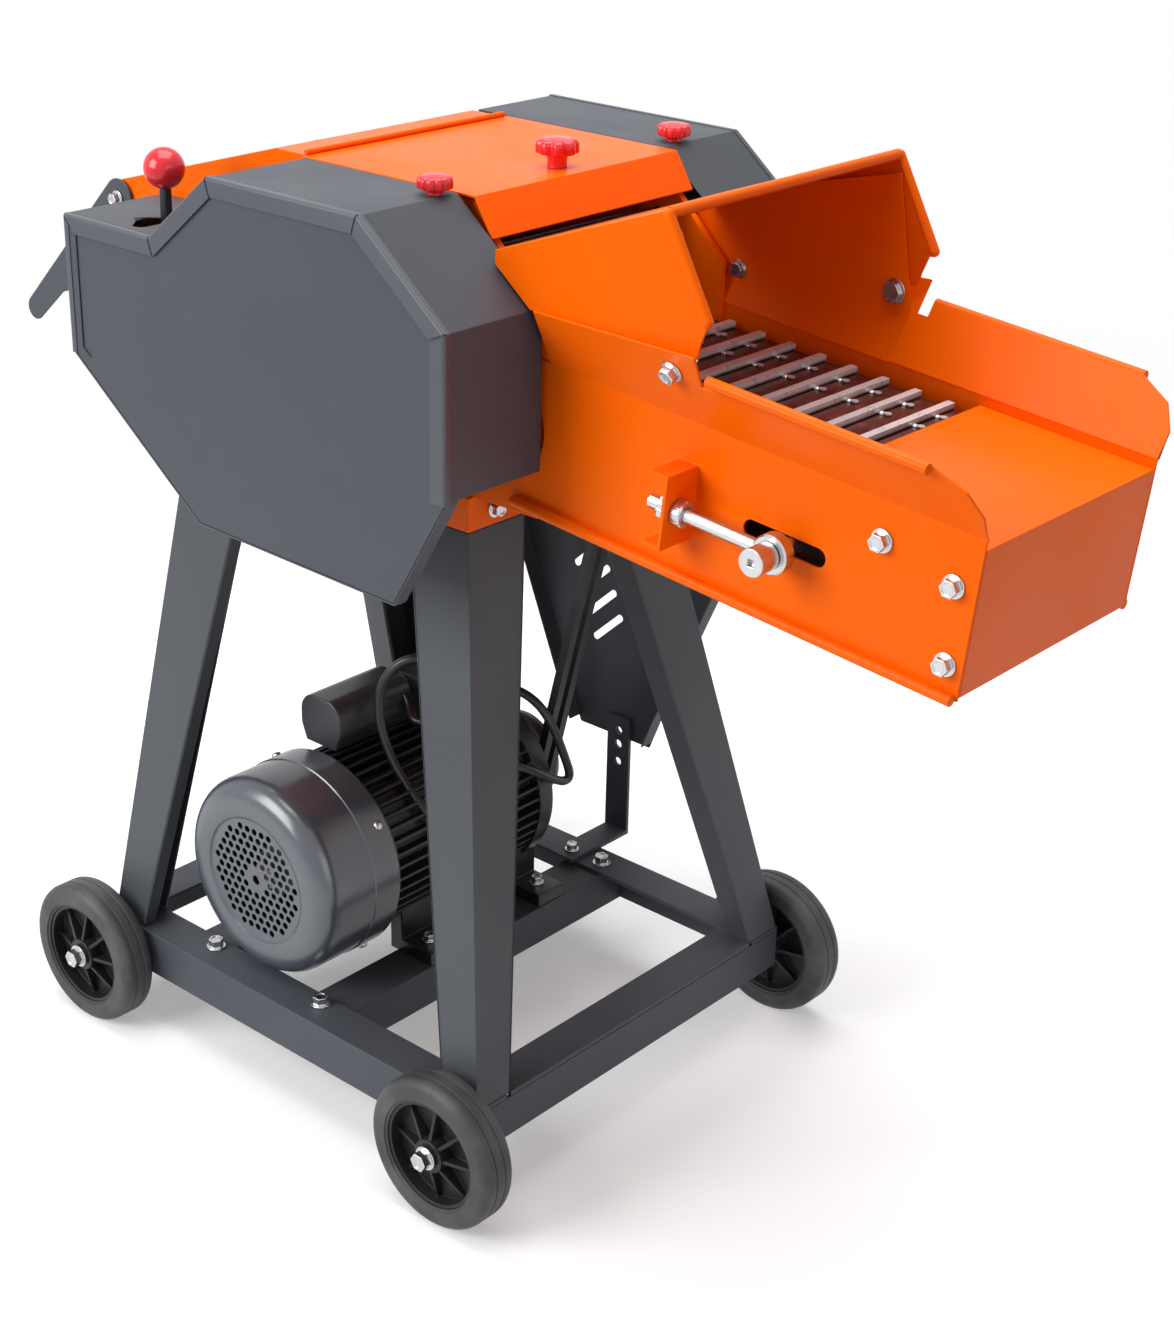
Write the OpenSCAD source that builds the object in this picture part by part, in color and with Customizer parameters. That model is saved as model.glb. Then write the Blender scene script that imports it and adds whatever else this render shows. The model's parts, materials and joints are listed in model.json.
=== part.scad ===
// Electric chaff cutter on a wheeled stand.
// The feed tray points along +X, the gear side faces -Y and the belt side faces +Y.
// Stations along X are written from the middle of the base; seat() moves them to the middle of the length.

/* [Base] */
// Length of the base over its end rails
base_l = 460; // [420:5:520]
// Width of the base over its side rails
base_w = 384; // [360:4:440]
// Height of the base's top surface above the floor
base_top = 93; // [86:1:110]
// Height of the base angle
angle_h = 40; // [34:1:44]
// Width of the base angle's top flange
angle_w = 36; // [30:1:44]
// Thickness of the base angle
angle_t = 4; // [3:0.5:6]
// Width of each motor rail
rail_w = 42; // [36:1:50]
// Station of the front motor rail
rail_front_x = 32; // [20:1:40]
// Station of the rear motor rail
rail_rear_x = -112; // [-118:1:-106]

/* [Wheels] */
// Diameter of the wheels
wheel_d = 127; // [118:1:150]
// Width of a tyre
wheel_w = 32; // [26:1:38]
// Distance of the wheel axles from the ends of the base
axle_inset = 17; // [12:1:30]
// Diameter of the plastic rim
rim_d = 90; // [80:1:98]
// Diameter of the axle bolts
axle_d = 12; // [8:1:14]
// Count of ribs in a rim
rim_ribs = 8; // [5:1:10]
// Radius of the tyre's shoulders
tyre_shoulder = 8; // [5:0.5:10]
// Width of the band between the tread grooves
tread_band_w = 9; // [7:0.5:10]
// Wall thickness of the rims
rim_wall = 3; // [2:0.5:4]
// Radius of a rim's hub
rim_hub_r = 14; // [11:0.5:18]

/* [Legs] */
// Height where the legs end
leg_top = 522; // [490:2:550]
// Station of the front legs' outer corner at the top
leg_top_front_x = 142; // [125:1:160]
// Station of the rear legs' outer corner at the top
leg_top_rear_x = -176; // [-190:1:-160]
// Half width over the legs at the top
leg_top_y = 109; // [104:1:125]
// Width of a leg's flanges at the foot
leg_foot_w = 37; // [30:1:44]
// Width of a leg's flanges at the top
leg_head_w = 62; // [50:1:72]
// Depth of the return lip on a leg's free edges
leg_lip = 14; // [8:1:24]
// Thickness of the legs' sheet
leg_t = 3; // [2:0.5:4]

/* [Chamber] */
// Half width over the chamber's side plates
side_y = 104; // [98:1:112]
// Thickness of the side plates
side_t = 6; // [4:0.5:8]
// Height of the chamber's underside
chamber_low = 549; // [530:1:560]
// Height of the lid and of the covers' tops
roof_z = 773; // [760:1:790]
// Station of the chamber's front edge
chamber_front = 205; // [195:1:212]
// Station of the outlet
outlet_x = -250; // [-270:2:-235]
// Height of the hood's rear edge
outlet_top = 718; // [700:1:730]
// Height of the chute's lip at the outlet
outlet_low = 600; // [590:1:625]
// Station of the seam between lid and rear hood
seam_x = -27; // [-40:1:-15]
// Thickness of the sheet covers
sheet_t = 1.5; // [1:0.25:2.5]

/* [Covers] */
// Depth of the left gear cover
left_cover_d = 95; // [85:1:105]
// Depth of the right belt cover
right_cover_d = 90; // [80:1:100]
// Station of the covers' front face
cover_front = 215; // [213:1:225]
// Station of the covers' upper front corner
cover_top_front = 134; // [125:1:145]
// Height of the covers' lower front corner
cover_slope_z = 708; // [695:1:720]
// Height of the covers' bottom edge
cover_low = 500; // [485:1:515]
// Height of the ledge that carries the shift lever
ledge_z = 718; // [705:1:730]
// Width of the lip folded over a cover panel
cover_lip = 13; // [8:1:18]

/* [Belt guard] */
// Distance of the guard plate from the middle plane
guard_y = 231; // [220:1:234]
// Height of the guard's bottom edge
guard_low = 190; // [180:1:215]
// Height of the guard's top edge
guard_high = 610; // [560:5:640]
// Depth of the guard's lower flange
guard_flange = 14; // [8:1:24]
// Count of vent slots
guard_slots = 4; // [2:1:6]

/* [Feed box] */
// Downward tilt of the feed box towards its front
feed_tilt = 5.4; // [4:0.1:7]
// Station of the feed box's lower rear corner
feed_x = 181; // [176:1:186]
// Height of the feed box's lower rear corner
feed_z = 559; // [550:1:568]
// Length of the feed box
feed_l = 385; // [360:1:430]
// Height of the upright part of the feed walls
feed_crease = 112; // [106:1:120]
// Rise of the flared part of the tray walls
flare_h = 43; // [34:1:52]
// Lean of the flared walls
flare_angle = 29; // [20:1:34]
// Height of the apron above the box's bottom
apron_w = 105; // [100:1:110]
// Station of the apron's rear edge along the box
apron_u = 246; // [238:1:256]
// Radius of the rolled edges
roll_r = 4; // [3:0.5:5]

/* [Throat shroud] */
// Half width over the shroud's wings
shroud_y = 127; // [122:1:132]
// Station of the shroud's top rear edge
shroud_rear_x = 184; // [180:1:190]
// Height of the shroud's top rear edge
shroud_rear_z = 745; // [738:1:750]
// Station of the shroud's top front edge
shroud_front_x = 336; // [320:1:350]
// Height of the shroud's top front edge
shroud_front_z = 799; // [785:1:810]

/* [Slat chain] */
// Pitch of the chain and of the slats
chain_pitch = 28.2; // [27.8:0.1:28.6]
// Links in the straight upper run
run_links = 9; // [8:1:10]
// Length of a slat across the box
slat_l = 196; // [170:1:198]
// Gap between neighbouring slats on the straight run
slat_gap = 1.6; // [1:0.2:3]
// Height of the ridge along a slat's rear edge
ridge_h = 5; // [3:0.5:6]
// Radius of the chain's rollers
roller_r = 5; // [4:0.5:5.5]
// Distance of each chain strand from the middle plane
strand_y = 66; // [50:1:74]
// Height of the chain's axles above the box's bottom
chain_w = 55; // [54:1:57]
// Position of the head shaft along the box
head_u = -10; // [-14:1:-8]
// Diameter of the tension shaft
tension_shaft_d = 12; // [10:1:13]
// Travel of the tension shaft
tension_travel = 20; // [10:1:24]

/* [Rotor] */
// Station of the rotor's axis
rotor_x = 5; // [0:1:8]
// Height of the rotor's axis
rotor_z = 650; // [645:1:655]
// Radius swept by the knives
rotor_r = 94; // [86:0.5:95]
// Diameter of the rotor shaft
rotor_shaft_d = 30; // [25:1:36]
// Count of knives
knife_n = 4; // [2:1:6]
// Gap between knives and shear bar
knife_gap = 2; // [1:0.5:3]

/* [Upper feed roller] */
// Station of the upper roller
upper_x = 142; // [138:1:146]
// Height of the upper roller's axis at rest
upper_z = 700; // [698:1:703]
// Radius of the upper roller over its teeth
upper_r = 31; // [28:0.5:32]
// Diameter of the feed shafts
feed_shaft_d = 22; // [18:1:26]
// Upward travel of the upper roller
float_travel = 18; // [8:1:20]

/* [Motor] */
// Station of the motor's axis
motor_x = -42; // [-48:1:-36]
// Height of the motor's axis above its feet
motor_h = 93; // [92:0.5:98]
// Radius of the fan cover
fan_cover_r = 87; // [82:1:88]
// Distance of the fan cover's face from the middle plane
fan_face_y = -172; // [-176:1:-160]
// Length of the fan cover
fan_cover_l = 82; // [74:1:90]
// Distance of the drive end's face from the middle plane
drive_face_y = 112; // [104:1:116]
// Length of the shaft beyond the drive end
shaft_out = 52; // [44:1:56]
// Diameter of the motor shaft
motor_shaft_d = 24; // [19:1:28]
// Count of cooling fins
fin_n = 44; // [24:2:48]
// Distance between the motor's foot holes across the axis
foot_a = 152; // [140:1:160]
// Distance between the motor's foot holes along the axis
foot_b = 136; // [120:1:140]

/* [Belt drive] */
// Pitch radius of the pulley on the rotor shaft
main_pulley_r = 100; // [88:1:104]
// Pitch radius of the motor pulley
motor_pulley_r = 36; // [32:1:40]
// Distance of the belts' middle from the middle plane
belt_y = 142; // [140:1:146]
// Distance between the two belts
belt_pitch = 15; // [14:1:17]

/* [Controls] */
// Station of the shift lever
lever_x = -118; // [-124:1:-112]
// Distance of the shift lever from the middle plane
lever_y = -165; // [-170:1:-162]
// Height of the lever's pivot
lever_pivot_z = 655; // [648:1:664]
// Diameter of the lever's ball
ball_d = 31; // [28:1:38]
// Station of the three star knobs
knob_x = 126; // [118:1:130]
// Diameter of the cover knobs
knob_d = 26; // [24:1:34]
// Diameter of the lid knob
lid_knob_d = 32; // [28:1:40]

/* [Discharge flap] */
// Station of the flap's pivot
flap_x = -247; // [-252:1:-242]
// Height of the flap's pivot
flap_z = 704; // [698:1:708]
// Length of the flap from pivot to tip
flap_l = 168; // [140:1:180]

/* [Fits] */
// Radial play of shafts in their bores
fit = 0.05; // [0.03:0.01:0.08]
// Play between sliding or neighbouring pieces
gap = 0.4; // [0.3:0.05:0.6]

/* [Hidden] */
$fn = 48;
eps = 0.01;
flap_droop = 43;
flap_tip_r = 10;
feed_t = 2;
corner_cut = 30;
flare_u = 26;
corner_rise = flare_h - corner_cut * cos(flare_angle) + feed_t * sin(flare_angle);
rear_end = flap_x - flap_l * cos(flap_droop) - flap_tip_r;
front_end = feed_x + feed_l * cos(feed_tilt) + (feed_crease + corner_rise) * sin(feed_tilt);
x_mid = (front_end + rear_end) / 2;

orange = [0.96, 0.36, 0.02];
dark = [0.27, 0.29, 0.32];
leg_dark = [0.24, 0.25, 0.26];
zinc = [0.75, 0.75, 0.73];
steel = [0.55, 0.55, 0.57];
black = [0.06, 0.06, 0.07];
red = [0.85, 0.05, 0.12];
maroon = [0.34, 0.16, 0.13];

base_low = base_top - angle_h;
wheel_x = base_l / 2 - axle_inset;
rail_top = base_top - angle_t;
motor_z = rail_top + motor_h;
wheel_in_y = base_w / 2 + 3.5;
wheel_out_y = wheel_in_y + wheel_w;
axle_r = axle_d / 2;
leg_foot_z = base_top;
left_in_y = -(side_y + 8);
left_out_y = left_in_y - left_cover_d;
right_in_y = side_y + 8;
right_out_y = right_in_y + right_cover_d;
feed_wall_y = side_y + 2;
inner_y = side_y - side_t;
head_x = feed_x + head_u * cos(feed_tilt) + chain_w * sin(feed_tilt);
head_z = feed_z - head_u * sin(feed_tilt) + chain_w * cos(feed_tilt);
feed_shaft_r = feed_shaft_d / 2;
wheel_teeth = 8;
idler_u = head_u + run_links * chain_pitch;
strap_top = guard_low + 22;
hinge_r = 2;
lever_r = 4.5;
lever_eye_r = 8;
strap_holes = [14, 28, 46];
tension_shaft_r = tension_shaft_d / 2;
rod_r = 5;
rod_y = feed_wall_y + 18;
bracket_u = 160;
bracket_t = 3;
bracket_h = 54;
bracket_low = chain_w - 26;
rotor_disc_y = [-78, 0, 78];
rotor_disc_r = 50;
rotor_disc_t = 10;
knife_seat = 4;
knife_w = 38;
knife_t = 8;
foot_mid_y = 24;
foot_t = 12;
motor_r = 80;
box_seat_z = motor_z + motor_r + 2;
head_bearing_r = 24;
stud_r = 4;
left_knob_y = 126;
right_knob_y = 134;
spring_low = upper_z - 100;
chain_r = chain_pitch / 2 / sin(180 / wheel_teeth);
chain_wheel_h = chain_pitch / 2 / tan(180 / wheel_teeth);
link_plate_r = 6;
slat_t = 2.4;
ridge_w = 6;
rotor_shaft_r = rotor_shaft_d / 2;
shear_x = rotor_x + rotor_r + knife_gap;
bearing_t = 14;

// Moves stations written from the base's middle to the middle of the whole length.
module seat() translate([-x_mid, 0, 0]) children();

// Draws its children on both sides of the middle plane.
module both_sides() {
  children();
  mirror([0, 1, 0]) children();
}

// A flat sheet cut to an outline in the XZ plane, from y to y + t.
module sheet_xz(y, t) translate([0, y + t, 0]) rotate([90, 0, 0]) linear_extrude(t) children();

// A round bar along Y.
module bar_y(x, z, r, y0, y1) translate([x, y0, z]) rotate([-90, 0, 0]) cylinder(r = r, h = y1 - y0);

// The feed box's own frame: x along the box, z square to its bottom.
module feed_frame() translate([feed_x, 0, feed_z]) rotate([0, feed_tilt, 0]) children();

// A hexagon bolt head with a flange and a shallow dish, standing on z = 0.
module bolt_head(d = 10) {
  cylinder(d = 1.65 * d, h = 1.6);
  translate([0, 0, 1.6 - eps]) difference() {
    cylinder(d = 1.3 * d, h = 0.65 * d, $fn = 6);
    translate([0, 0, 0.65 * d - 0.8]) cylinder(d = 0.8 * d, h = 1);
  }
}

// A star knob with rounded lobes and a neck, standing on z = 0.
module star_knob(d, lobes, neck_h, stud_h) {
  lobe_r = 0.62 * PI * d / (2 * lobes + PI);
  cylinder(d = 0.46 * d, h = neck_h + 1);
  translate([0, 0, neck_h]) linear_extrude(0.32 * d) union() {
    circle(r = d / 2 - lobe_r);
    for (i = [0:lobes - 1]) rotate(360 / lobes * i) translate([d / 2 - lobe_r, 0]) circle(r = lobe_r, $fn = 24);
  }
  translate([0, 0, neck_h + 0.32 * d - eps]) cylinder(d1 = 0.72 * d, d2 = 0.6 * d, h = 2);
  translate([0, 0, -stud_h]) cylinder(r = stud_r, h = stud_h + 1);
}

// A tube swept along a list of points.
function unit(v) = v / norm(v);
function along(p, i) = unit(p[min(i + 1, len(p) - 1)] - p[max(i - 1, 0)]);
function side_of(t) = unit(cross(t, abs(t[2]) > 0.9 ? [1, 0, 0] : [0, 0, 1]));
function ring(p, i, r, n) = let (t = along(p, i), a = side_of(t), b = cross(t, a))
  [for (k = [0:n - 1]) p[i] + r * (a * cos(360 * k / n) + b * sin(360 * k / n))];
module tube(p, r, n = 10) {
  m = len(p);
  pts = [for (i = [0:m - 1]) each ring(p, i, r, n)];
  sides = [for (i = [0:m - 2], k = [0:n - 1])
    [i * n + k, i * n + (k + 1) % n, (i + 1) * n + (k + 1) % n, (i + 1) * n + k]];
  polyhedron(pts, concat(sides, [[for (k = [n - 1:-1:0]) k]], [[for (k = [0:n - 1]) (m - 1) * n + k]]));
}

// Base

module angle_x(sy) {
  translate([-base_l / 2, sy > 0 ? base_w / 2 - angle_w : -base_w / 2, base_top - angle_t])
    cube([base_l, angle_w, angle_t]);
  translate([-base_l / 2, sy > 0 ? base_w / 2 - angle_t : -base_w / 2, base_low]) cube([base_l, angle_t, angle_h]);
}

module base_side_rails() color(dark) seat() difference() {
  for (s = [-1, 1]) angle_x(s);
  for (sx = [-1, 1]) bar_y(sx * wheel_x, wheel_d / 2, axle_r + fit, -base_w, base_w);
}

module base_end_rails() color(dark) seat() for (s = [-1, 1]) scale([s, 1, 1]) {
  inner = base_w - 2 * angle_t - 2 * gap;
  translate([base_l / 2 - angle_t, -inner / 2, base_low]) cube([angle_t, inner, angle_h - angle_t - gap]);
  translate([base_l / 2 - angle_w, -inner / 2 + angle_w, base_top - angle_t])
    cube([angle_w, inner - 2 * angle_w, angle_t]);
}

module motor_rails() color(dark) seat() for (x = [rail_rear_x, rail_front_x])
  translate([x - rail_w / 2, -base_w / 2 + angle_t + gap, base_low])
    difference() {
      cube([rail_w, base_w - 2 * angle_t - 2 * gap, rail_top - base_low]);
      translate([3, -1, -1]) cube([rail_w - 6, base_w, rail_top - base_low - 2]);
    }

// Legs

// One face of a leg: a flat strip from the foot line to the head line.
module leg_strip(foot, head, size_foot, size_head) hull() {
  translate([foot[0], foot[1], leg_foot_z]) cube([size_foot[0], size_foot[1], eps]);
  translate([head[0], head[1], leg_top - eps]) cube([size_head[0], size_head[1], eps]);
}

// A folded leg with its outer corner at the base's corner, drawn for the quarter x > 0, y < 0.
module leg(foot_x, head_x, head_w) {
  fy = -base_w / 2 + 2;
  hy = -leg_top_y;
  leg_strip([foot_x - leg_foot_w, fy], [head_x - head_w, hy], [leg_foot_w, leg_t], [head_w, leg_t]);
  leg_strip([foot_x - leg_t, fy], [head_x - leg_t, hy], [leg_t, leg_foot_w], [leg_t, leg_head_w]);
  leg_strip([foot_x - leg_foot_w, fy], [head_x - head_w, hy], [leg_t, leg_lip], [leg_t, leg_lip]);
  leg_strip([foot_x - 1.8 * leg_lip, fy + leg_foot_w - leg_t], [head_x - 1.8 * leg_lip, hy + leg_head_w - leg_t],
    [1.8 * leg_lip, leg_t], [1.8 * leg_lip, leg_t]);
}

module front_legs() color(leg_dark) seat() both_sides() leg(base_l / 2, leg_top_front_x, leg_head_w);

module rear_legs() color(leg_dark) seat() both_sides() mirror([1, 0, 0])
  leg(base_l / 2 - 22, -leg_top_rear_x, 1.22 * leg_head_w);

// Chamber

// A foot that carries the chamber on a leg.
module chamber_foot(x0, x1) {
  y0 = -leg_top_y;
  y1 = -leg_top_y + leg_head_w - 5;
  difference() {
    translate([x0, y0, leg_top]) cube([x1 - x0, y1 - y0, chamber_low - leg_top]);
    translate([x0 + 3, y0 + 3, leg_top - 1]) cube([x1 - x0 - 6, y1 - y0 - 6, chamber_low - leg_top - 2]);
  }
}

function chamber_outline() = [
  [chamber_front, chamber_low], [chamber_front, 700], [155, 750], [142, roof_z - 5], [seam_x, roof_z - 5],
  [-60, roof_z - 5], [outlet_x, outlet_top - 5], [outlet_x, outlet_low - 12], [-190, chamber_low]
];

module side_plate_shape() difference() {
  polygon(chamber_outline());
  translate([rotor_x, rotor_z]) circle(r = rotor_shaft_r + 2);
  translate([head_x, head_z]) circle(r = feed_shaft_r + 2);
  hull() for (z = [upper_z, upper_z + float_travel]) translate([upper_x, z]) circle(r = feed_shaft_r + 2);
  translate([flap_x, flap_z]) circle(r = 4 + fit, $fn = 24);
}

// The cover knob's stud screws into a bracket on the side plate, and the cover's top rests on it.
module knob_bracket(y) difference() {
  union() {
    translate([knob_x - 20, -y - 12, roof_z - 12]) cube([26, y + 12 - side_y, 9.4]);
    translate([knob_x - 20, -y - 12, roof_z - 12]) cube([26, y + 12 - (side_y + 10), 12 - sheet_t - 0.3]);
  }
  translate([knob_x, -y, roof_z - 20]) cylinder(r = stud_r + fit, h = 30);
}

module side_plate(knob_y) {
  knob_bracket(knob_y);
  sheet_xz(-side_y, side_t) side_plate_shape();
  chamber_foot(leg_top_front_x - leg_head_w, leg_top_front_x);
  chamber_foot(leg_top_rear_x, leg_top_rear_x + leg_head_w);
  translate([upper_x - 38, -side_y - 14, spring_low - 6]) cube([16, 14, 6]);
}

module left_side_plate() color(orange) seat() side_plate(left_knob_y);

module right_side_plate() color(orange) seat() mirror([0, 1, 0]) side_plate(right_knob_y);

// The lid's knob screws into this bar between the side plates.
module lid_bar() color(orange) seat() difference() {
  translate([knob_x - 12, -inner_y + gap, roof_z - 13]) cube([24, 2 * (inner_y - gap), 6]);
  translate([knob_x, 0, roof_z - 20]) cylinder(r = stud_r + fit, h = 20);
}

// The concave under the rotor and the chute behind it.
module chamber_floor() color(orange) seat() sheet_xz(-inner_y + gap, 2 * (inner_y - gap)) {
  r = rotor_r + 4;
  t = 3;
  turn_off = 100;
  intersection() {
    translate([rotor_x, rotor_z]) difference() {
      circle(r = r + t, $fn = 96);
      circle(r = r, $fn = 96);
    }
    translate([rotor_x, rotor_z]) polygon([[0, 0], for (a = [-12:-11:-turn_off]) 200 * [cos(a), sin(a)]]);
  }
  a = -turn_off;
  px = rotor_x + r * cos(a);
  pz = rotor_z + r * sin(a);
  polygon([[px, pz], [outlet_x + 1, outlet_low], [outlet_x + 1, outlet_low - t], [px, pz - t]]);
}

module shear_bar() color(steel) seat() {
  translate([shear_x, -inner_y + gap, rotor_z - 17]) cube([20, 2 * (inner_y - gap), 10]);
}

// Rear hood with its side skirts and the ears of the flap.
module rear_hood() color(orange) seat() {
  t = 2;
  y = side_y + t + gap;
  top = [[seam_x, roof_z], [-60, roof_z], [outlet_x, outlet_top]];
  sheet_xz(-y, 2 * y) polygon(concat(top, [[outlet_x, outlet_top - t], [-60, roof_z - t], [seam_x, roof_z - t]]));
  both_sides() sheet_xz(-y, t) difference() {
    polygon(concat(top, [[outlet_x, outlet_top - 30], [-60, roof_z - 26], [seam_x, roof_z - 26]]));
    translate([flap_x, flap_z]) circle(r = 4 + fit, $fn = 24);
  }
}

// Covers

left_outline = [
  [-187, 610], [-187, ledge_z], [-87, ledge_z], [-20, roof_z], [cover_top_front, roof_z],
  [cover_front, cover_slope_z], [cover_front, cover_low + 87], [164, cover_low], [-46, cover_low + 5]
];
right_outline = [
  [-150, 600], [-60, roof_z], [cover_top_front, roof_z],
  [cover_front, cover_slope_z], [cover_front, cover_low + 87], [164, cover_low], [-90, cover_low]
];
// Areas that keep the lips on the upper edges and the skirts on the lower ones.
left_upper = [[-200, 612], [-200, 800], [230, 800], [230, cover_low + 89]];
right_upper = [[-170, 640], [-170, 800], [230, 800], [230, cover_low + 89]];

// The strip round a cover: full depth above, a narrow return below.
module cover_band(outline, upper, depth) {
  sheet_xz(0, depth) intersection() {
    difference() {
      polygon(outline);
      offset(delta = -sheet_t) polygon(outline);
    }
    polygon(upper);
  }
  sheet_xz(0, 12) difference() {
    polygon(outline);
    offset(delta = -sheet_t) polygon(outline);
  }
  sheet_xz(-1.2, 1.2 + eps) intersection() {
    difference() {
      polygon(outline);
      offset(delta = -cover_lip) polygon(outline);
    }
    polygon(upper);
  }
}

lever_slot = [[lever_x - 5, left_out_y + 9], [lever_x - 5, left_out_y + 45]];

module left_cover_band() color(dark) seat() difference() {
  translate([0, left_out_y, 0]) cover_band(left_outline, left_upper, left_cover_d);
  translate([0, 0, ledge_z - 10]) linear_extrude(20) hull() for (p = lever_slot) translate(p) circle(r = 13);
  translate([knob_x, -left_knob_y, roof_z - 10]) cylinder(r = stud_r + fit, h = 20);
}

module left_cover_panel() color(dark) seat() sheet_xz(left_out_y + 0.2, sheet_t)
  offset(delta = -sheet_t - gap) polygon(left_outline);

module right_cover_band() color(dark) seat() difference() {
  mirror([0, 1, 0]) translate([0, -right_out_y, 0]) cover_band(right_outline, right_upper, right_cover_d);
  translate([knob_x, right_knob_y, roof_z - 10]) cylinder(r = stud_r + fit, h = 20);
}

module right_cover_panel() color(dark) seat() sheet_xz(right_out_y - sheet_t - 0.2, sheet_t)
  offset(delta = -sheet_t - gap) polygon(right_outline);

// Belt guard

guard_outline = [
  [-38, guard_low], [-130, 410], [-150, guard_high - 60], [-110, guard_high],
  [120, guard_high], [170, guard_high - 60], [140, 410], [58, guard_low + 31], [46, guard_low]
];

module belt_guard() color(dark) seat() {
  difference() {
    sheet_xz(guard_y, sheet_t) polygon(guard_outline);
    for (i = [0:guard_slots - 1]) translate([-33 + 8.4 * i, guard_y - 5, 361 - 22 * i]) rotate([0, -43, 0]) {
      for (s = [-1, 1]) translate([19 * s, 0, 0]) rotate([-90, 0, 0]) cylinder(r = 3.3, h = 20, $fn = 24);
      translate([-19, 0, -3.3]) cube([38, 20, 6.6]);
    }
    bar_y(strap_x, strap_top - strap_holes[0], 4 + fit, guard_y - 5, guard_y + 5);
  }
  translate([0, guard_y - guard_flange, 0]) sheet_xz(0, guard_flange + eps) intersection() {
    difference() {
      polygon(guard_outline);
      offset(delta = -sheet_t) polygon(guard_outline);
    }
    translate([-300, guard_low + 6]) square([600, 600]);
  }
  sheet_xz(right_out_y + 0.01, guard_y - right_out_y) intersection() {
    difference() {
      polygon(guard_outline);
      offset(delta = -sheet_t) polygon(guard_outline);
    }
    translate([-300, cover_low + 6]) square([600, 600]);
  }
}

strap_x = 12;
strap_w = 26;
strap_t = 4;
strap_bolt_y = base_w / 2 - angle_w + 9;
// The strap lies on the rail, reaches out to the guard's plane and stands up against it.
module guard_strap() color(dark) seat() difference() {
  foot_y = base_w / 2 - angle_w - 6;
  out_y = guard_y - gap;
  z = base_top;
  translate([strap_x - strap_w / 2, 0, 0]) rotate([90, 0, 90]) linear_extrude(strap_w) polygon([
    [foot_y, z], [out_y, z], [out_y, strap_top], [out_y - strap_t, strap_top], [out_y - strap_t, z + strap_t],
    [foot_y, z + strap_t]
  ]);
  for (h = strap_holes) bar_y(strap_x, strap_top - h, 4 + fit, guard_y - 10, guard_y + 5);
  translate([strap_x, strap_bolt_y, base_top - 1]) cylinder(r = 4 + fit, h = 10);
}

// Feed box

// One wall of the feed box, drawn for the -Y side in the box's frame.
module feed_wall() {
  y = feed_wall_y;
  t = feed_t;
  s_of = 1 / cos(flare_angle);
  difference() {
    translate([0, -y, 0]) cube([feed_l, t, feed_crease]);
    hull() for (u = [idler_u - tension_travel - 12, idler_u + 22]) translate([u, -y - 1, chain_w])
      rotate([-90, 0, 0]) cylinder(r = tension_shaft_r + 0.6, h = t + 2);
    translate([head_u, -y - 1, chain_w]) rotate([-90, 0, 0]) cylinder(r = head_bearing_r + 12, h = t + 2);
  }
  translate([0, -y, feed_crease]) rotate([flare_angle, 0, 0]) {
    translate([0, t, 0]) rotate([90, 0, 0]) linear_extrude(t) polygon([
      [flare_u, -1.2], [flare_u, 48], [171, 64], [171, 38], [180, 38], [180, flare_h * s_of], [feed_l - 34, flare_h * s_of],
      [feed_l - 10, flare_h * s_of - 12], [feed_l, flare_h * s_of - corner_cut], [feed_l, -1.2]
    ]);
    translate([180, -roll_r + t, flare_h * s_of]) rotate([0, 90, 0]) cylinder(r = roll_r, h = feed_l - 34 - 180);
  }
  translate([4, -y - roll_r + 1, 1]) rotate([0, 90, 0]) cylinder(r = roll_r, h = feed_l - 6);
  // The bracket of the tension rod is welded to the wall.
  translate([bracket_u, -y - 32, bracket_low]) difference() {
    union() {
      cube([bracket_t, 32, bracket_h]);
      for (z = [0, bracket_h - bracket_t]) translate([-13, 0, z]) cube([16, 32, bracket_t]);
    }
    translate([-1, y + 32 - rod_y, chain_w - bracket_low]) rotate([0, 90, 0]) cylinder(r = rod_r + fit, h = 6);
  }
}

module feed_left_wall() color(orange) seat() feed_frame() feed_wall();

module feed_right_wall() color(orange) seat() feed_frame() mirror([0, 1, 0]) feed_wall();

// The apron and front plate are one bent sheet between the walls.
module feed_apron() color(orange) seat() feed_frame() {
  y = feed_wall_y - 2 - gap;
  t = 2;
  translate([apron_u, -y, apron_w - t]) cube([feed_l - apron_u, 2 * y, t]);
  translate([feed_l - t, -y, 2]) cube([t, 2 * y, apron_w - 2]);
}

module feed_floor() color(orange) seat() feed_frame() {
  y = feed_wall_y - 2 - gap;
  translate([30, -y, 0]) cube([feed_l - 34, 2 * y, 2]);
}

// Throat shroud: a top panel and two wings with rolled front edges.
module throat_shroud() color(orange) seat() {
  t = 2;
  y = shroud_y;
  rx = shroud_rear_x;
  fx = shroud_front_x;
  chin = [fx + 35, shroud_front_z - 66];
  sheet_xz(-y, 2 * y) polygon([
    [rx, shroud_rear_z], [fx, shroud_front_z], [fx, shroud_front_z - t - 0.7], [rx, shroud_rear_z - t - 0.7]
  ]);
  both_sides() {
    sheet_xz(-y, t) polygon([
      [rx, 735], [rx, shroud_rear_z], [fx, shroud_front_z], chin, [fx + 28, 716], [fx + 26, 706],
      [cover_front + 1.5, cover_slope_z + 1.5]
    ]);
    hull() for (p = [[fx, shroud_front_z - 3], chin]) translate([p[0], -y - roll_r + t, p[1]]) sphere(r = roll_r, $fn = 24);
  }
  translate([fx, -y, shroud_front_z - 2]) rotate([-90, 0, 0]) cylinder(r = roll_r, h = 2 * y);
}

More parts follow.
